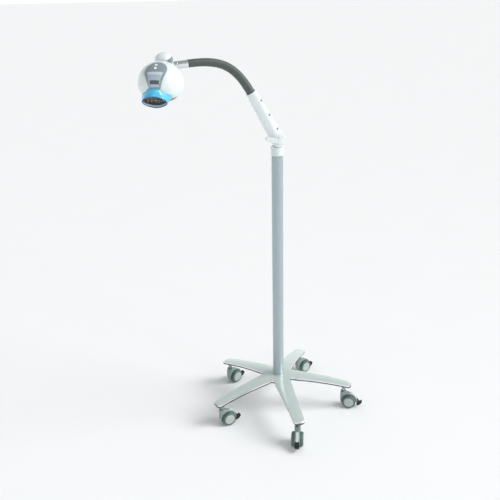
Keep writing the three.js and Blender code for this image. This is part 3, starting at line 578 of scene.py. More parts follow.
def leg_sector():
    bm = bmesh.new()
    bmesh.ops.create_grid(bm, x_segments=ROWS, y_segments=COLUMNS, size=1)
    for vert in bm.verts:
        reach = row_reach(round((vert.co.x + 1) / 2 * ROWS))
        across = vert.co.y
        half = leg_half_width(reach)
        edge = smoothstep(CROTCH, FILLET_END, reach)
        crown = CROWN * edge * across ** 2
        tip = smoothstep(LEG_LENGTH - 6, LEG_LENGTH, reach) * 1.2
        radius = mix(math.hypot(reach, across * half), reach, edge)
        vert.co = (reach, across * half, leg_top(radius) - crown - tip)
    return bm


print("row reaches", [round(row_reach(row)) for row in (0, 10, 26, 50, ROWS)])

# %% Base star casting
RIM_BEVEL = 2.2
UNDER_RISE = 4.5
# Share of the edge's depth, from the top, that is painted bright as a highlight; below it the side
# is painted dark.
HIGHLIGHT_RIM_SHARE = 0.62
leg_turns = [Matrix.Rotation(math.radians(LEG_FIRST + 72 * i), 4, 'Z') for i in range(LEG_COUNT)]
star = together(*[moved(leg_sector(), turn) for turn in leg_turns])
bmesh.ops.remove_doubles(star, verts=star.verts, dist=0.02)
bmesh.ops.dissolve_degenerate(star, edges=star.edges, dist=1e-3)
bmesh.ops.recalc_face_normals(star, faces=star.faces)
top_faces = star.faces[:]
if sum(face.normal.z for face in top_faces) < 0:
    bmesh.ops.reverse_faces(star, faces=top_faces)
wall = bmesh.ops.extrude_face_region(star, geom=top_faces, use_keep_orig=True)
lower = [item for item in wall["geom"] if isinstance(item, bmesh.types.BMVert)]
for vert in lower:
    vert.co.z -= LEG_DEPTH
upright_edges = [e for e in star.edges if abs(e.verts[0].co.z - e.verts[1].co.z) > LEG_DEPTH - 0.01
                 and (e.verts[0].co.xy - e.verts[1].co.xy).length < 0.01]
bmesh.ops.subdivide_edges(star, edges=upright_edges, cuts=1)
bmesh.ops.recalc_face_normals(star, faces=star.faces)
rim = [e for e in star.edges if len(e.link_faces) == 2 and e.calc_face_angle(0) > math.radians(50)]
bmesh.ops.bevel(star, geom=rim, offset=RIM_BEVEL, segments=3, profile=0.5, affect='EDGES',
                clamp_overlap=True, material=-1)
under = [f for f in star.faces if f.normal.z < -0.8]
bmesh.ops.inset_region(star, faces=under, thickness=2.6, depth=0.0, use_even_offset=False)
for vert in {v for f in under for v in f.verts}:
    vert.co.z += UNDER_RISE
print("star faces", len(star.faces))

# %% [markdown]
# Under the hub is a boss for the bolt that pulls the column down into its seat, and each leg has a
# small boss that gives a caster's stem enough depth to stand in.

# %% Bosses under the star
STEM_REACH = 237
STEM_DROP = 7
hub_boss = turned([(0, 94), (17, 94), (19, 100), (30, 112), (34, 122), (0, 122)], 1.5)
stem_floor = leg_top(STEM_REACH) - LEG_DEPTH
stem_bosses = []
for turn in leg_turns:
    boss = turned([(0, stem_floor - STEM_DROP), (11, stem_floor - STEM_DROP),
                   (12, stem_floor - STEM_DROP + 1), (12, stem_floor + 5), (0, stem_floor + 5)],
                  1.0, 32)
    stem_bosses.append(moved(boss, turn @ Matrix.Translation((STEM_REACH, 0, 0))))


def star_paint(face):
    """Polished top 0, lower edge and underside painted dark as reflection and shade 1, upper edge
    painted bright as a highlight 2.
    """
    here = face.calc_center_median() / MM
    if here.z < leg_top(math.hypot(here.x, here.y)) - HIGHLIGHT_RIM_SHARE * LEG_DEPTH:
        return 1
    return 2 if face.normal.z < 0.5 else 0


made("base_casting", together(star, hub_boss, *stem_bosses), [aluminium, side_shade_paint, rim_highlight_paint],
     "stand",
     "base_star", "polished_aluminium", 40, star_paint)
refinish(steel, "hub_bolt")

# %% [markdown]
# ## Column
# The column is a drawn steel tube with satin paint. It is turned as a plain rod with slightly
# rounded ends, and its top is covered by the elbow's collar.

# %% Column and power inlet
COLUMN_RADIUS = 19
column_low, column_high = (corner.z / MM for corner in map(Vector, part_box("column_tube")))
column = rod(COLUMN_RADIUS, column_low, column_high, 0.8, 96)
made("column", column, satin, "stand", "column_tube", "satin_grey_paint", 36)
inlet_low, inlet_high = (Vector(corner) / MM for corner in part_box("power_inlet"))
inlet_z = (inlet_low.z + inlet_high.z) / 2
socket = turned([(0, 10.4), (6, 10.4), (6, 19.2), (9, 19.3), (9, 22.3), (4, 22.3), (4, 14.3),
                 (1.1, 14.3), (1.1, 20.8), (0, 20.8)], 0.5, 48)
spot = Matrix.Translation((0, 0, inlet_z)) @ Matrix.Rotation(-math.pi / 2, 4, 'X')
made("power_socket", moved(socket, spot), pedal_black, "stand", "power_inlet", "pedal_black")

# %% [markdown]
# ## Casters
# Each caster is a pair of wheels with a hood between them. The hood carries the stem, the axle and
# a brake pedal that can be pressed with a shoe. A wheel is turned: its tread has round shoulders,
# and its face is a large cap with a groove round it. The hood is a D-shaped plate, recessed on both
# sides so that the wheels sit partly inside it, with a ridge over its back that is painted light as
# a highlight. One set is drawn with its stem on Z, trailing to +X, and placed at each leg by the
# two joints the frame gives.

# %% Caster wheel
WHEEL = 25
TRAIL = 20
HOOD = 29.5
BOSS_TOP = 64


def wheel_drawing():
    """A wheel on the +Y side of the axle at the origin."""
    profile = [(4.3, 5), (22, 5), (WHEEL - 0.1, 6.5), (WHEEL - 0.1, 15.5), (22.6, 19.4),
               (19.6, 20.4), (18.6, 20.2), (18.2, 19.2), (17.6, 19.2), (17.2, 20.4), (9, 21.0),
               (0, 21.0), (0, 18), (4.3, 18), (4.3, 5)]
    return moved(turned(profile, 1.4), Matrix.Rotation(-math.pi / 2, 4, 'X'))


def wheel_paint_about(axle, axis):
    """The tyre is everything outside the cap's groove."""
    def paint(face):
        away = face.calc_center_median() / MM - axle
        across = away - axis * away.dot(axis)
        return 1 if across.length < 17.9 and abs(away.dot(axis)) > 14 else 0
    return paint


print("wheel", 2 * WHEEL, "mm across")

# %% Caster hood
def hood_drawing():
    outline = [(-11, WHEEL), (-5, 12), (TRAIL, 12), *arc(TRAIL, WHEEL, HOOD, -8, 82, 24),
               (11, BOSS_TOP - 5), (-11, BOSS_TOP - 5)]
    hood = moved(plate(outline, -9, 9, 2.2, 4), ABOUT_X)
    boss = turned([(0, 45), (11, 45), (11, BOSS_TOP - 1), (9.5, BOSS_TOP), (0, BOSS_TOP)], 1.2, 48)
    rooms = []
    for side in (-1, 1):
        room = rod(WHEEL + 1.3, 4, 20, 0.1, 72)
        spot = Matrix.Translation((TRAIL, 0, WHEEL)) @ Matrix.Rotation(side * math.pi / 2, 4, 'X')
        rooms.append(moved(room, spot))
    bore = rod(5.8, 47, 70, 0.1, 32)
    axle = rod(4, -17, 17, 0.4, 32)
    axle = moved(axle, Matrix.Translation((TRAIL, 0, WHEEL)) @ ABOUT_X)
    ridge_line = arc(TRAIL, WHEEL, HOOD - 0.5, 2, 80, 24) + arc(TRAIL, WHEEL, HOOD + 1.0, 80, 2, 24)
    ridge = moved(plate(ridge_line, -4.6, 4.6, 0.6, 3), ABOUT_X)
    return together(carved(hood, [*rooms, bore], [boss]), axle), ridge


print("hood stands", BOSS_TOP, "mm high")

# %% Caster stem and brake pedal
def stem_drawing(top, seat):
    return turned([(0, 48), (5.5, 48), (5.5, BOSS_TOP + 0.6), (6.6, BOSS_TOP + 0.8),
                   (6.6, seat - 4), (8, seat - 3.6), (8, seat), (5.5, seat), (5.5, top), (0, top)],
                  0.6, 40)


def pedal_drawing():
    """A rocker on the axle at the origin, with an upturned toe for the shoe."""
    inner = HOOD + 1.3
    outline = [*arc(0, 0, inner, 34, -6, 10), *rounded([
        (inner + 1.5, -7), (inner + 4, -6.4), (inner + 12.4, 1.6), (inner + 15.4, 13.4),
        (inner + 12.4, 14.4), (inner + 8.6, 8), (inner + 1.4, 12.4)], 1.6, 3)]
    pedal = moved(plate(outline, -7.6, 7.6, 1.3, 3), ABOUT_X)
    return moved(pedal, Matrix.Rotation(math.radians(19), 4, 'Y'))


print("caster parts drawn")

# %% Casters in place
seat = stem_floor - STEM_DROP - 0.3
for i in range(1, LEG_COUNT + 1):
    swivel = Vector(joints[f"caster_{i}_swivel"]["pos_m"]) / MM
    axle = Vector(joints[f"left_wheel_{i}_spin"]["pos_m"]) / MM
    heading = math.atan2(axle.y - swivel.y, axle.x - swivel.x)
    at_stem = Matrix.Translation((swivel.x, swivel.y, 0)) @ Matrix.Rotation(heading, 4, 'Z')
    at_axle = at_stem @ Matrix.Translation((TRAIL, 0, WHEEL))
    centre = at_axle.translation
    across = at_axle.to_3x3() @ Vector((0, 1, 0))
    hood, highlight_band = hood_drawing()
    made(f"caster_hood_{i}", moved(hood, at_stem), hood_grey, f"caster_{i}",
         f"caster_housing_{i}", "housing_grey")
    # The ridge over the hood is painted light as a highlight.
    made(f"caster_highlight_band_{i}", moved(highlight_band, at_stem), hood_highlight_paint, f"caster_{i}")
    made(f"caster_pin_{i}", moved(stem_drawing(leg_top(STEM_REACH) - 4.3, seat), at_stem), steel,
         f"caster_{i}", f"caster_stem_{i}", "steel")
    for side, turn in (("left", 0), ("right", math.pi)):
        wheel = moved(wheel_drawing(), at_axle @ Matrix.Rotation(turn, 4, 'Z'))
        made(f"{side}_wheel_piece_{i}", wheel, [tyre_grey, cap_grey], f"{side}_wheel_{i}",
             f"caster_wheel_{side}_{i}", "tyre_grey", 36, wheel_paint_about(centre, across))
    made(f"pedal_piece_{i}", moved(pedal_drawing(), at_axle), pedal_black, f"pedal_{i}",
         f"brake_pedal_{i}", "pedal_black")

# %% [markdown]
# ## Elbow and clamp
# A white collar slips over the top of the column and carries a tongue with a round end. The arm's
# two half shells close round that tongue, a bolt goes through all three, and a lever on the bolt
# clamps them. The grooves on the collar are grip rings, turned in the same profile. A thin cup on
# top of the collar follows the round of the arm's ears and closes the gap under them. It is lower
# on the side that the arm leans to, so that the arm can swing down.

# %% Elbow
PIVOT = Vector(joints["arm_tilt"]["pos_m"]) / MM
COLLAR_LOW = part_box("elbow_base")[0][2] / MM
COLLAR_HIGH = PIVOT.z - 22.5
TONGUE = 9
KNEE = 22
lying = Matrix.Translation(PIVOT) @ ABOUT_X


def collar_profile():
    profile = [(19.3, COLLAR_LOW), (20.4, COLLAR_LOW), (21, COLLAR_LOW + 1)]
    for share in (0.3, 0.55, 0.8):
        height = mix(COLLAR_LOW, COLLAR_HIGH, share)
        profile += [(21, height - 0.8), (20.2, height), (21, height + 0.8)]
    return profile + [(21, COLLAR_HIGH - 1.5), (19.5, COLLAR_HIGH), (0, COLLAR_HIGH)]


def disc(radius, low, high, bevel=1.0):
    """A disc across the elbow, between two distances to the front of its middle."""
    return moved(rod(radius, low, high, bevel, 72), lying)


inside = [(0, COLLAR_HIGH - 3.2), (19.3, COLLAR_HIGH - 3.2), (19.3, COLLAR_LOW)]
collar = turned(collar_profile()[1:] + inside + [collar_profile()[1]], 0.4, 72)
post = block(26, 2 * TONGUE, 22.5, (PIVOT.x, 0, PIVOT.z - 11.5), 0.8)
cup = turned([(0, COLLAR_HIGH - 2), (20.9, COLLAR_HIGH - 2), (21, PIVOT.z - 9), (0, PIVOT.z - 9)],
             0.3, 96)
arm_room = block(46, 60, 28, (-20, 0, PIVOT.z - 8), 0)
cup = carved(cup, [disc(KNEE + 0.9, -30, 30, 0.1), arm_room])
made("elbow", together(collar, cup, carved(disc(KNEE - 0.2, -TONGUE, TONGUE), [disc(5.3, -20, 20)],
                                      [post])), gloss, "elbow", "elbow_base", "white_gloss")

# %% Clamp bolt and lever
EAR = 20
bolt = together(disc(8, -EAR - 5.2, -EAR - 0.4, 1.2), disc(5, -EAR - 1, EAR + 6, 0.4))
made("clamp_bolt", bolt, steel, "lever", "pivot_bolt", "steel")
lever_hub = disc(10.5, EAR + 0.4, EAR + 14.2, 2.4)
handle_line = [(0, 8), (-42, 7.5), *arc(-42, 0, 7.5, 90, 270, 16), (0, -8)]
rise = Matrix.Rotation(math.radians(13), 4, 'Y')
handle = plate(handle_line, EAR + 4.4, EAR + 13.2, 2.6, 4)
handle = moved(handle, ABOUT_X)
handle = moved(handle, Matrix.Translation(PIVOT) @ rise)
made("clamp_handle", carved(lever_hub, add=[handle]), gloss, "lever", "clamp_lever", "white_gloss")

# %% [markdown]
# ## Arm
# The arm is a pair of long moulded half shells, screwed together from the front. Its front face
# has a ridge, so one facet is in shade and the other in light. That crease is what makes it read as
# a moulding and not as a pipe. Each half is lofted over its cross section at several levels, its
# round ear is added, and the slot for the elbow's tongue is cut through both.

# %% Arm outline
ARM_LENGTH = 175
ARM_LEAN = math.radians(29.4)
at_arm = Matrix.Translation(PIVOT) @ Matrix.Rotation(-ARM_LEAN, 4, 'Y')
SCREW_LEVELS = (35, 87, 139)
SCREW_SIDE = 14.5


def arm_section(share, sign):
    left, right_side = mix(-22, -16, share), mix(22, 17.5, share)
    ridge, depth = mix(2, 7, share), mix(EAR, 16, share)
    corners = [(left, sign * 0.15), (left, sign * depth * 0.35), (left * 0.72, sign * depth * 0.8),
               (ridge - 5, sign * depth), (ridge + 3, sign * depth),
               (right_side * 0.9, sign * depth * 0.6), (right_side, sign * depth * 0.3),
               (right_side, sign * 0.15)]
    return rounded(corners, 4.5, 5)


def screw_depth(level_up):
    return mix(EAR, 16, level_up / ARM_LENGTH) * 0.72


print("arm section", len(arm_section(0, 1)), "points")

# %% Arm shells
def arm_half(sign):
    rings = []
    for level_up in (0, 15, 30, 60, 90, 120, 150, 172, ARM_LENGTH):
        share = level_up / ARM_LENGTH
        pull = 1.0 if level_up < ARM_LENGTH else 0.955
        rings.append([Vector((p.x * pull, p.y * (pull if abs(p.y) > 1 else 1), level_up))
                      for p in arm_section(share, sign)])
    body = loft(rings)
    ear = rod(KNEE, 0.15, EAR, 2.0, 72)
    ear = moved(ear, Matrix.Rotation(-sign * math.pi / 2, 4, 'X'))
    knee_room = rod(KNEE + 1, -TONGUE - 0.5, TONGUE + 0.5, 0.05, 72)
    knee_room = moved(knee_room, ABOUT_X)
    post_room = block(80, 2 * TONGUE + 1, KNEE + 1, (0, 0, -KNEE / 2), 0)
    bore = moved(rod(5.3, -30, 30, 0.1, 32), ABOUT_X)
    socket_room = rod(14.1, 149, 180, 0.1, 48)
    cutters = [knee_room, post_room, bore, socket_room]
    if sign < 0:
        for level_up in SCREW_LEVELS:
            depth = screw_depth(level_up)
            recess = turned([(0, -3.3), (3.7, -3.3), (3.9, 8), (0, 8)], 0.1, 32)
            spot = Matrix.Translation((SCREW_SIDE, -depth, level_up))
            cutters.append(moved(recess, spot @ ABOUT_X))
    return moved(carved(body, cutters, [ear]), at_arm)


made("arm_front", arm_half(-1), gloss, "arm", "arm_shell_front", "white_gloss", 30)
made("arm_rear", arm_half(1), gloss, "arm", "arm_shell_rear", "white_gloss", 30)

# %% [markdown]
# The three screws are grey cross-headed ones in shallow recesses. A screw head is a few millimetres
# across, so a turned head and two crossed slots are all it needs.

# %% Arm screws
for i, level_up in enumerate(SCREW_LEVELS, 1):
    depth = screw_depth(level_up)
    head = turned([(0, -18), (1.6, -18), (1.6, -3), (3.2, -3), (3.2, -1), (2.3, -0.3), (0, 0)],
                  0.3, 32)
    slots = [block(3.6, 0.9, 2.4, bevel=0), block(0.9, 3.6, 2.4, bevel=0)]
    spot = at_arm @ Matrix.Translation((SCREW_SIDE, -depth, level_up))
    screw = moved(carved(head, slots), spot @ ABOUT_X)
    made(f"arm_screw_head_{i}", screw, screw_grey, "arm", f"arm_screw_{i}", "steel")

# %% [markdown]
# ## Gooseneck
# A gooseneck is a coil of steel wire under a ribbed skin. It bends anywhere and stays where
# it is left. The frame stands in for it with seven links. The skin is one ribbed tube along a
# smooth curve, made in seven lengths that each run from the middle of one link to the middle of
# the next. Each length turns smoothly across its joint, so the neck stays whole in every pose.
# the next. The lengths are not carried by the links; they keep the shape they are drawn in.

# %% Neck curve
NECK_INSET = 2
NECK_RISE = 101
NECK_END = Vector((-275, 0, 1235))
NECK_CREST = Vector((-176, 0, 1243.5))
arm_way = Vector((-math.sin(ARM_LEAN), 0, math.cos(ARM_LEAN)))
neck_start = PIVOT + arm_way * (ARM_LENGTH - NECK_INSET)
neck_handle = neck_start + arm_way * NECK_RISE
CURVE_STEPS = 2000


def bezier(t):
    a, b, c, d = (1 - t) ** 3, 3 * t * (1 - t) ** 2, 3 * t * t * (1 - t), t ** 3
    return neck_start * a + neck_handle * b + NECK_CREST * c + NECK_END * d


fine_points = [bezier(i / CURVE_STEPS) for i in range(CURVE_STEPS + 1)]
lengths = [0.0]
for before, after in zip(fine_points, fine_points[1:]):
    lengths.append(lengths[-1] + (after - before).length)
NECK_LENGTH = lengths[-1]


def neck_at(reach):
    """The point and direction at a distance along the neck; before its start it runs straight."""
    if reach <= 0:
        return neck_start + arm_way * reach, arm_way.copy()
    low, high = 0, CURVE_STEPS
    while high - low > 1:
        middle = (low + high) // 2
        if lengths[middle] > reach:
            high = middle
        else:
            low = middle
    way = (fine_points[high] - fine_points[low]).normalized()
    return fine_points[low] + way * (reach - lengths[low]), way


print("neck length", round(NECK_LENGTH, 1))

# %% Ribbed skin
FIRST_LINK = 9
LINK_PITCH = 32
RIB_PITCH = 3.2
RIB_HEIGHT = 0.55
NECK_SIDES = 48


def skin_radius(reach):
    share = min(max(reach / NECK_LENGTH, 0), 1)
    rib = 0.5 - 0.5 * math.cos(2 * math.pi * reach / RIB_PITCH)
    return mix(13.9, 12.0, share) - RIB_HEIGHT * (1 - rib ** 0.7)


def skin_length(start, end):
    count = max(round((end - start) / (RIB_PITCH / 6)), 8)
    rings = []
    for k in range(count + 1):
        reach = mix(start, end, k / count)
        point, way = neck_at(reach)
        side = way.cross(Vector((0, 1, 0)))
        radius = skin_radius(reach)
        rings.append([
            point + (side * math.cos(a) + Vector((0, 1, 0)) * math.sin(a)) * radius
            for a in (2 * math.pi * n / NECK_SIDES for n in range(NECK_SIDES))
        ])
    return loft(rings)


for k in range(1, 8):
    joint_reach = FIRST_LINK + (k - 1) * LINK_PITCH
    start = -4 if k == 1 else joint_reach - LINK_PITCH / 2
    end = NECK_LENGTH - 0.4 if k == 7 else joint_reach + LINK_PITCH / 2
    skin = made(f"neck_skin_{k}", skin_length(start, end), neck_skin, None,
                f"gooseneck_link_{k}", "neck_grey", 60)
    span = min(LINK_PITCH / 2 - 2, joint_reach - start)
    low, _ = neck_at(joint_reach - span)
    high, _ = neck_at(joint_reach + span)
    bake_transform(skin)
refinish(steel, "gooseneck_fitting")

# %% [markdown]
# ## Ferrule and knuckle
# The neck ends in a chromed sleeve. It plugs into a white knuckle that lets the head nod and turn,
# under a domed cap. All three are turned pieces, so they are three profiles. The cap is cut on a
# slant, and a grey wedge below it on the side of the neck is painted shadow; the turntable under
# the dome is painted the same shadow grey. The knuckle leans with the end of the neck, and its
# frame comes from the two joints' axes.

# %% Ferrule, knuckle and dome
knuckle_spot = Vector(joints["head_nod"]["pos_m"]) / MM
to_neck = Vector(joints["head_nod"]["axis"]).normalized()
knuckle_up = Vector(joints["head_turn"]["axis"]).normalized()
if knuckle_up.z < 0:
    knuckle_up.negate()
if to_neck.x < 0:
    to_neck.negate()
at_knuckle = Matrix((to_neck, knuckle_up.cross(to_neck), knuckle_up)).transposed().to_4x4()
at_knuckle.translation = knuckle_spot
along_neck = at_knuckle @ ABOUT_Y
REACH = 70
SLEEVE = 26.3
TURNTABLE = 19
DOME = 27.5
DOME_FOOT = 20.4
CHEEK_SLOPE = math.radians(-24)
ferrule = turned([(0, SLEEVE - 17), (7, SLEEVE - 17), (7, SLEEVE), (10.9, SLEEVE),
                  (11.6, SLEEVE + 1.2),
                  (11.6, 37), (11.2, 37.4), (11.2, 38.2), (11.6, 38.6), (11.6, REACH - 5.4),
                  (12.1, REACH - 4.4), (12.1, REACH - 0.3), (0, REACH - 0.3)], 0.5, 72)
made("ferrule_sleeve", moved(ferrule, along_neck), chrome, "link_7", "ferrule", "chrome")
pin = turned([(0, -28), (7, -28), (7, -14), (15.5, -14), (TURNTABLE, -11.5), (TURNTABLE, 15),
              (TURNTABLE - 1, 17), (0, 17)],
             1.2, 72)
sleeve = turned([(0, 2), (13.5, 2), (13.5, 24.6), (12.6, 26), (0, 26)], 0.8, 64)
bore = rod(7.3, 8, 30, 0.1, 48)
sleeve, bore = (moved(bm, ABOUT_Y) for bm in (sleeve, bore))


def knuckle_paint(face):
    """The turntable under the dome is painted grey as shadow, the sleeve that holds the ferrule is
    white.
    """
    here = at_knuckle.inverted() @ (face.calc_center_median() / MM)
    return 1 if here.z > 0 and math.hypot(here.x, here.y) < TURNTABLE + 0.6 else 0


made("knuckle_block", moved(carved(pin, [bore], [sleeve]), at_knuckle), [gloss, shadow_grey_paint],
     "knuckle", "knuckle_body", "white_gloss", 36, knuckle_paint)
dome_line = [(0, 17.3), (24.8, 17.3), (27.2, 18.6), (DOME, DOME_FOOT)]
dome_line += [(DOME * math.cos(a), DOME_FOOT + 21.6 * math.sin(a))
              for a in (math.radians(6 * n) for n in range(1, 15))]
below = moved(block(90, 90, 60, (0, 0, -30), 0), Matrix.Translation((0, 0, 17.6)) @ Matrix.Rotation(
    CHEEK_SLOPE, 4, 'Y'))
dome = carved(turned([*dome_line, (0, 42)], 0.3, 96), [below])
made("knuckle_dome", moved(dome, at_knuckle), gloss, "knuckle", "knuckle_cap", "white_gloss")
# The grey wedge kept below the dome's slanted cut is painted shadow, where shade falls under the
# dome.
neck_side = block(60, 90, 90, (31, 0, 10), 0)
shadow_wedge = turned([(0, 9), (24, 9), (26.4, 12), (27.2, 20.4), (26.7, 26), (24.6, 31), (0, 31)],
               0.3, 96)
made("knuckle_shadow_wedge", moved(carved(shadow_wedge, keep=[below, neck_side]), at_knuckle), shadow_grey_paint,
     "knuckle")

# %% [markdown]
# ## Lamp head
# The head is a closed egg-shaped housing, because it has to be wiped down between patients. Its
# shell is an ellipsoid, cut off below by a sloping rim, hollowed, and opened for the knuckle and
# for the shroud. Real shells are moulded exactly so: a smooth form, with inserts for the openings.
# The head has a frame of its own: +X is the way it faces, +Z is up.

# %% Head frame and egg
HEAD_CENTRE = Vector((-365, -50.8, 1190))
HEAD_HEADING = math.radians(-112.5)
at_head = Matrix.Translation(HEAD_CENTRE) @ Matrix.Rotation(HEAD_HEADING, 4, 'Z')
to_head = at_head.inverted()
SHELL = Vector((67.8, 66.8, 61.9))
WALL = 2.6
RIM_DROP = 33
PAN_DEPTH = 14
RIM_SLOPE = math.radians(12)
SADDLE_FLOOR, SADDLE_RADIUS = 22, 42


at_rim = Matrix.Translation((0, 0, -RIM_DROP)) @ Matrix.Rotation(RIM_SLOPE, 4, 'Y')


def egg(offset):
    bm = bmesh.new()
    bmesh.ops.create_uvsphere(bm, u_segments=112, v_segments=72, radius=1)
    size = SHELL + Vector((offset,) * 3)
    bmesh.ops.scale(bm, vec=size, verts=bm.verts)
    return bm


def rim_slab(low, high):
    return moved(block(300, 300, high - low, (0, 0, (high + low) / 2), 0), at_rim)


knuckle_here = to_head @ knuckle_spot


def saddle(growth):
    low, wide = SADDLE_FLOOR - growth, SADDLE_RADIUS + growth
    profile = [(0, low), (wide - 4, low), (wide - 1, low + 1.4), (wide, low + 5), (wide, 100),
               (0, 100)]
    return moved(turned(profile, 0.4, 96), Matrix.Translation((knuckle_here.x, knuckle_here.y, 0)))


print("knuckle in the head frame", tuple(round(v, 1) for v in knuckle_here))

# %% [markdown]
# The shroud flares from a narrow neck under the panel to wide shoulders, and then draws in to an
# eye-shaped mouth. It is lofted: each ring is square to the beam, and its outline changes from
# a bell to an eye on the way forward. The lip is a darker blue. The duct inside is painted dark as
# shade, and only the front of its lower side is painted white as light falling into the mouth.

# %% Shroud outlines
BEAM_DIP = math.radians(40)
MOUTH = Vector((68, -3, -47))
MOUTH_WIDE, MOUTH_HIGH = 38, 25
DUCT_WIDE, DUCT_LOW, DUCT_HIGH = 34, 18.5, 21.5
NECK_CORNER = 9
SHOULDER_WIDE, SHOULDER_BACK = 44, 26
SHROUD_NECK = 31
SHOULDER_HEIGHT = -8
BELL_FOOT = -22
SHROUD_LENGTH = 40
OUTLINE_STEPS = 28


def beam_point(forward, side, height):
    x = forward * math.cos(BEAM_DIP) + height * math.sin(BEAM_DIP)
    z = -forward * math.sin(BEAM_DIP) + height * math.cos(BEAM_DIP)
    return MOUTH + Vector((x, side, z))


def bell_width(height):
    if height < SHOULDER_HEIGHT:
        drop = min((SHOULDER_HEIGHT - height) / (SHOULDER_HEIGHT - BELL_FOOT), 1)
        return SHOULDER_WIDE * (1 - drop * drop) ** 0.45
    rest = 1 - (height - SHOULDER_HEIGHT) / (SHROUD_NECK - SHOULDER_HEIGHT)
    width = mix(16, SHOULDER_WIDE, smoothstep(0, 1, rest))
    corner = max(height - SHROUD_NECK + NECK_CORNER, 0) / NECK_CORNER
    return width * max(1 - corner ** 3, 0) ** 0.5


def eye_width(height, wide, high):
    return wide * max(1 - (height / high) ** 2, 0) ** 0.62


print("bell half widths", [round(bell_width(height)) for height in (-15, SHOULDER_HEIGHT, 10, 25)])

# %% Rings square to the beam
def symmetrical(low, high, width_at):
    heights = [mix(low, high, (1 - math.cos(math.pi * i / OUTLINE_STEPS)) / 2)
               for i in range(OUTLINE_STEPS + 1)]
    side = [(max(width_at(h), 0.4), h) for h in heights]
    return side + [(-w, h) for w, h in reversed(side)]


def grown(outline, growth):
    """An outline moved outwards by the same distance all round."""
    points = [Vector(point) for point in outline]
    result = []
    for i, point in enumerate(points):
        way_in = (point - points[i - 1]).normalized()
        way_out = (points[(i + 1) % len(points)] - point).normalized()
        along = (way_in + way_out).normalized()
        reach = growth / max(along.dot(way_in), 0.5)
        result.append((point.x + along.y * reach, point.y - along.x * reach))
    return result


def shroud_ring(back, growth=0.0):
    share = smoothstep(-SHOULDER_BACK, 0, -back)
    low = mix(BELL_FOOT, -MOUTH_HIGH, share)
    high = mix(SHROUD_NECK, MOUTH_HIGH, share)
    outline = symmetrical(low, high, lambda h: mix(
        bell_width(h), eye_width(h, MOUTH_WIDE, MOUTH_HIGH), share))
    return [beam_point(-back, side, height) for side, height in grown(outline, growth)]


def duct_ring(back, growth=0.0):
    outline = symmetrical(-DUCT_LOW, DUCT_HIGH, lambda h: eye_width(
        h, DUCT_WIDE, DUCT_LOW if h < 0 else DUCT_HIGH))
    return [beam_point(-back, side, height) for side, height in grown(outline, growth)]


shroud_backs = [SHROUD_LENGTH, 34, 30, SHOULDER_BACK, 23, 20, 17, 14, 11, 8, 5, 2.5]
opening = loft([shroud_ring(back, 0.9) for back in [SHROUD_LENGTH + 2, *shroud_backs[1:], 0, -12]])
print("shroud opening faces", len(opening.faces))

# %% Shell and underside
spigot_room = moved(rod(8.2, -60, 0, 0.1, 48), to_head @ at_knuckle)
hollow = carved(egg(-WALL), [saddle(WALL)])
shell = carved(egg(0), [saddle(0), hollow, rim_slab(-200, 0), opening, spigot_room])
made("head_cover", moved(shell, at_head), gloss, "head", "head_shell", "white_gloss", 28)

pan = carved(egg(-WALL - 0.3), [opening], keep=[rim_slab(-PAN_DEPTH, 4)])
vents = [moved(block(34, 2.6, 12, (-14, 5.2 * n, -PAN_DEPTH), 0.4), at_rim) for n in range(-4, 5)]
pan = carved(pan, [carved(egg(-2 * WALL), keep=[rim_slab(-PAN_DEPTH + WALL, 6)]), *vents])
made("head_pan", moved(pan, at_head), underside, "head", "head_underside", "underside_grey", 28)

# %% Light shroud
lip = [shroud_ring(1.2, -0.3), shroud_ring(0, -1.6), duct_ring(0, 1.4), duct_ring(1.2, 0.2)]
skin = [shroud_ring(back) for back in shroud_backs]
duct = [duct_ring(back) for back in (4, 6.4, 12, 22, 32, SHROUD_LENGTH)]
rings = skin + lip + duct + [skin[0]]
shroud = loft(rings, caps=False)
bmesh.ops.remove_doubles(shroud, verts=shroud.verts, dist=1e-3)
bmesh.ops.recalc_face_normals(shroud, faces=shroud.faces)


def shroud_paint(face):
    """Lip 1, front of the lower duct painted white as light 2, duct painted dark as shade 3,
    outside 0.
    """
    here = to_head @ (face.calc_center_median() / MM)
    away = here - MOUTH
    back = -(away.x * math.cos(BEAM_DIP) - away.z * math.sin(BEAM_DIP))
    height = away.x * math.sin(BEAM_DIP) + away.z * math.cos(BEAM_DIP)
    reach = DUCT_LOW if height < 0 else DUCT_HIGH
    inside_duct = (abs(height) < reach + 0.3
                   and abs(away.y) < eye_width(height, DUCT_WIDE, reach + 0.3) + 0.6)
    if inside_duct and back > 1.0:
        return 2 if height < -1 and back < 6.5 else 3
    return 1 if back < 1.8 else 0


made("beam_shroud", moved(shroud, at_head), [cyan, deep_blue, duct_light_paint, duct_shade_paint], "head",
     "light_shroud", "shroud_cyan", 44, shroud_paint)

# %% [markdown]
# ## Light source
# Behind the clear cover sit two rows of LEDs, each in its own small reflector cup. A cup is turned
# once and repeated, and a tiny yellow dome in it is the phosphor that makes the white light.

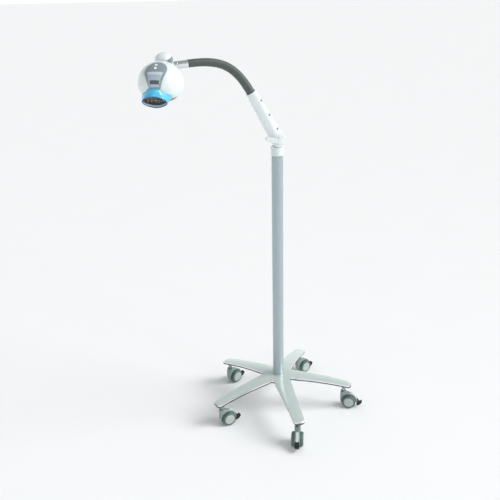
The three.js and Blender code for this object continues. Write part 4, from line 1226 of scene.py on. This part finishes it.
# %% LED cups and cover
facing = at_head @ Matrix.Translation(beam_point(-12, 0, 0)) @ Matrix.Rotation(
    math.pi / 2 + BEAM_DIP, 4, 'Y')
cups, dots = [], []
for row in (-1, 1):
    for place_across in range(-2, 3):
        side, height = place_across * 11.4, row * 6.2
        if abs(side) > eye_width(height, DUCT_WIDE - 7, DUCT_LOW - 2):
            continue
        cup = turned([(0, -6), (5.4, -6), (5.4, 0), (4.9, 0), (3.4, -3), (1.6, -4.8), (0, -5)],
                     0.2, 32)
        dot = turned([(0, -5.4), (2.4, -5.4), (2.0, -3.6), (0, -2.9)], 0.2, 20)
        spot = facing @ Matrix.Translation((-height, side, 0))
        cups.append(moved(cup, spot))
        dots.append(moved(dot, spot))
made("led_cups", together(*cups), reflector, "head")
made("led_domes", together(*dots), led_yellow, "head")
made("beam_cover", moved(loft([duct_ring(8, -0.3), duct_ring(5.6, -0.3)]), at_head), cover_clear,
     "head", "light_window", "clear_plate")
refinish(board_green, "led_board", "control_board")
refinish(steel, "heat_sink")

# %% [markdown]
# ## Control panel
# The panel is a teardrop that hugs the shell, with a window and a display let into it and two
# round keys above. Drawn flat and laid on, it would float or cut into the egg. So a thin layer
# between two eggs, one slightly larger than the other, is kept only where a prism with the
# outline of the teardrop passes through it. A paler strip across the top of the window is painted
# as a reflection on its glass.

# %% Panel outlines
PANEL_LIFT = 0.4
PANEL_SKIN = 1.4
PANEL_SLOPE = -8
PANEL_SKEW = 0.13
WINDOW_TOP = -11
DISPLAY_TOP = -36
PANEL_FOOT = -54
KEYS = (("power", 12), ("timer", 0))
KEY = 4.5
slope_frame = Matrix(((0, -math.sqrt(0.5), math.sqrt(0.5)), (1, 0, 0),
                      (0, math.sqrt(0.5), math.sqrt(0.5)))).to_4x4()


def through(outline):
    return moved(plate(outline, 20, 140, 0), slope_frame)


def on_shell(lift, thickness, outline, cut=()):
    """A layer on the shell, trimmed to an outline drawn as (left to right, up the slope)."""
    layer = carved(egg(lift + thickness), [egg(lift)])
    return carved(layer, cut, keep=[through(outline)])


def trapezium(top_half, top, low_half, low, corner):
    return rounded([(-top_half, top), (-low_half, low), (low_half, low), (top_half, top)],
                   corner, 6, closed=True)


crown_line = [(x, y + PANEL_SKEW * x)
              for x, y in reversed(arc(0, PANEL_SLOPE + 2, 32.5, -8, 188, 48))]
teardrop = rounded([*crown_line, (16, PANEL_FOOT), (-16, PANEL_FOOT)], 3, 4, closed=True)
window_hole = trapezium(24.3, WINDOW_TOP + 0.3, 13.8, WINDOW_TOP - 40.3, 2.3)
window_line = trapezium(23.9, WINDOW_TOP - 0.1, 13.4, WINDOW_TOP - 39.9, 2)
highlight_band_line = trapezium(23.2, WINDOW_TOP - 1.0, 21.2, WINDOW_TOP - 9.6, 1.6)
display_hole = trapezium(14.3, DISPLAY_TOP + 0.3, 12.8, DISPLAY_TOP - 9.3, 1.3)
display_line = trapezium(13.9, DISPLAY_TOP - 0.1, 12.4, DISPLAY_TOP - 8.9, 1)
key_holes = [through(arc(0, slope, KEY + 0.4, 360, 7.5, 47)) for _, slope in KEYS]
print("panel outline points", len(teardrop))

# %% Panel, window, display and keys
panel = on_shell(PANEL_LIFT, PANEL_SKIN, teardrop, [through(window_hole), opening, *key_holes])
made("panel_face", moved(panel, at_head), panel_grey, "head", "control_panel", "panel_grey", 30)
inset = on_shell(PANEL_LIFT, PANEL_SKIN - 0.5, window_line, [through(display_hole), opening])
made("window_face", moved(inset, at_head), window_blue, "head", "panel_window", "panel_blue", 30)
# This paler strip over the top of the window is painted as a reflection.
highlight_band = on_shell(PANEL_LIFT, PANEL_SKIN - 0.35, highlight_band_line)
made("window_highlight_band", moved(highlight_band, at_head), window_highlight_paint, "head", smooth=30)
screen = on_shell(PANEL_LIFT, PANEL_SKIN - 0.9, display_line)
made("display_face", moved(screen, at_head), display_dark, "head", "display", "display_dark", 30)
for name, slope in KEYS:
    key = on_shell(PANEL_LIFT + 0.8, PANEL_SKIN + 0.2, arc(0, slope, KEY, 360, 7.5, 47))
    made(f"{name}_key_cap", moved(key, at_head), key_silver, f"{name}_key", f"button_{name}",
         "button_silver", 30)
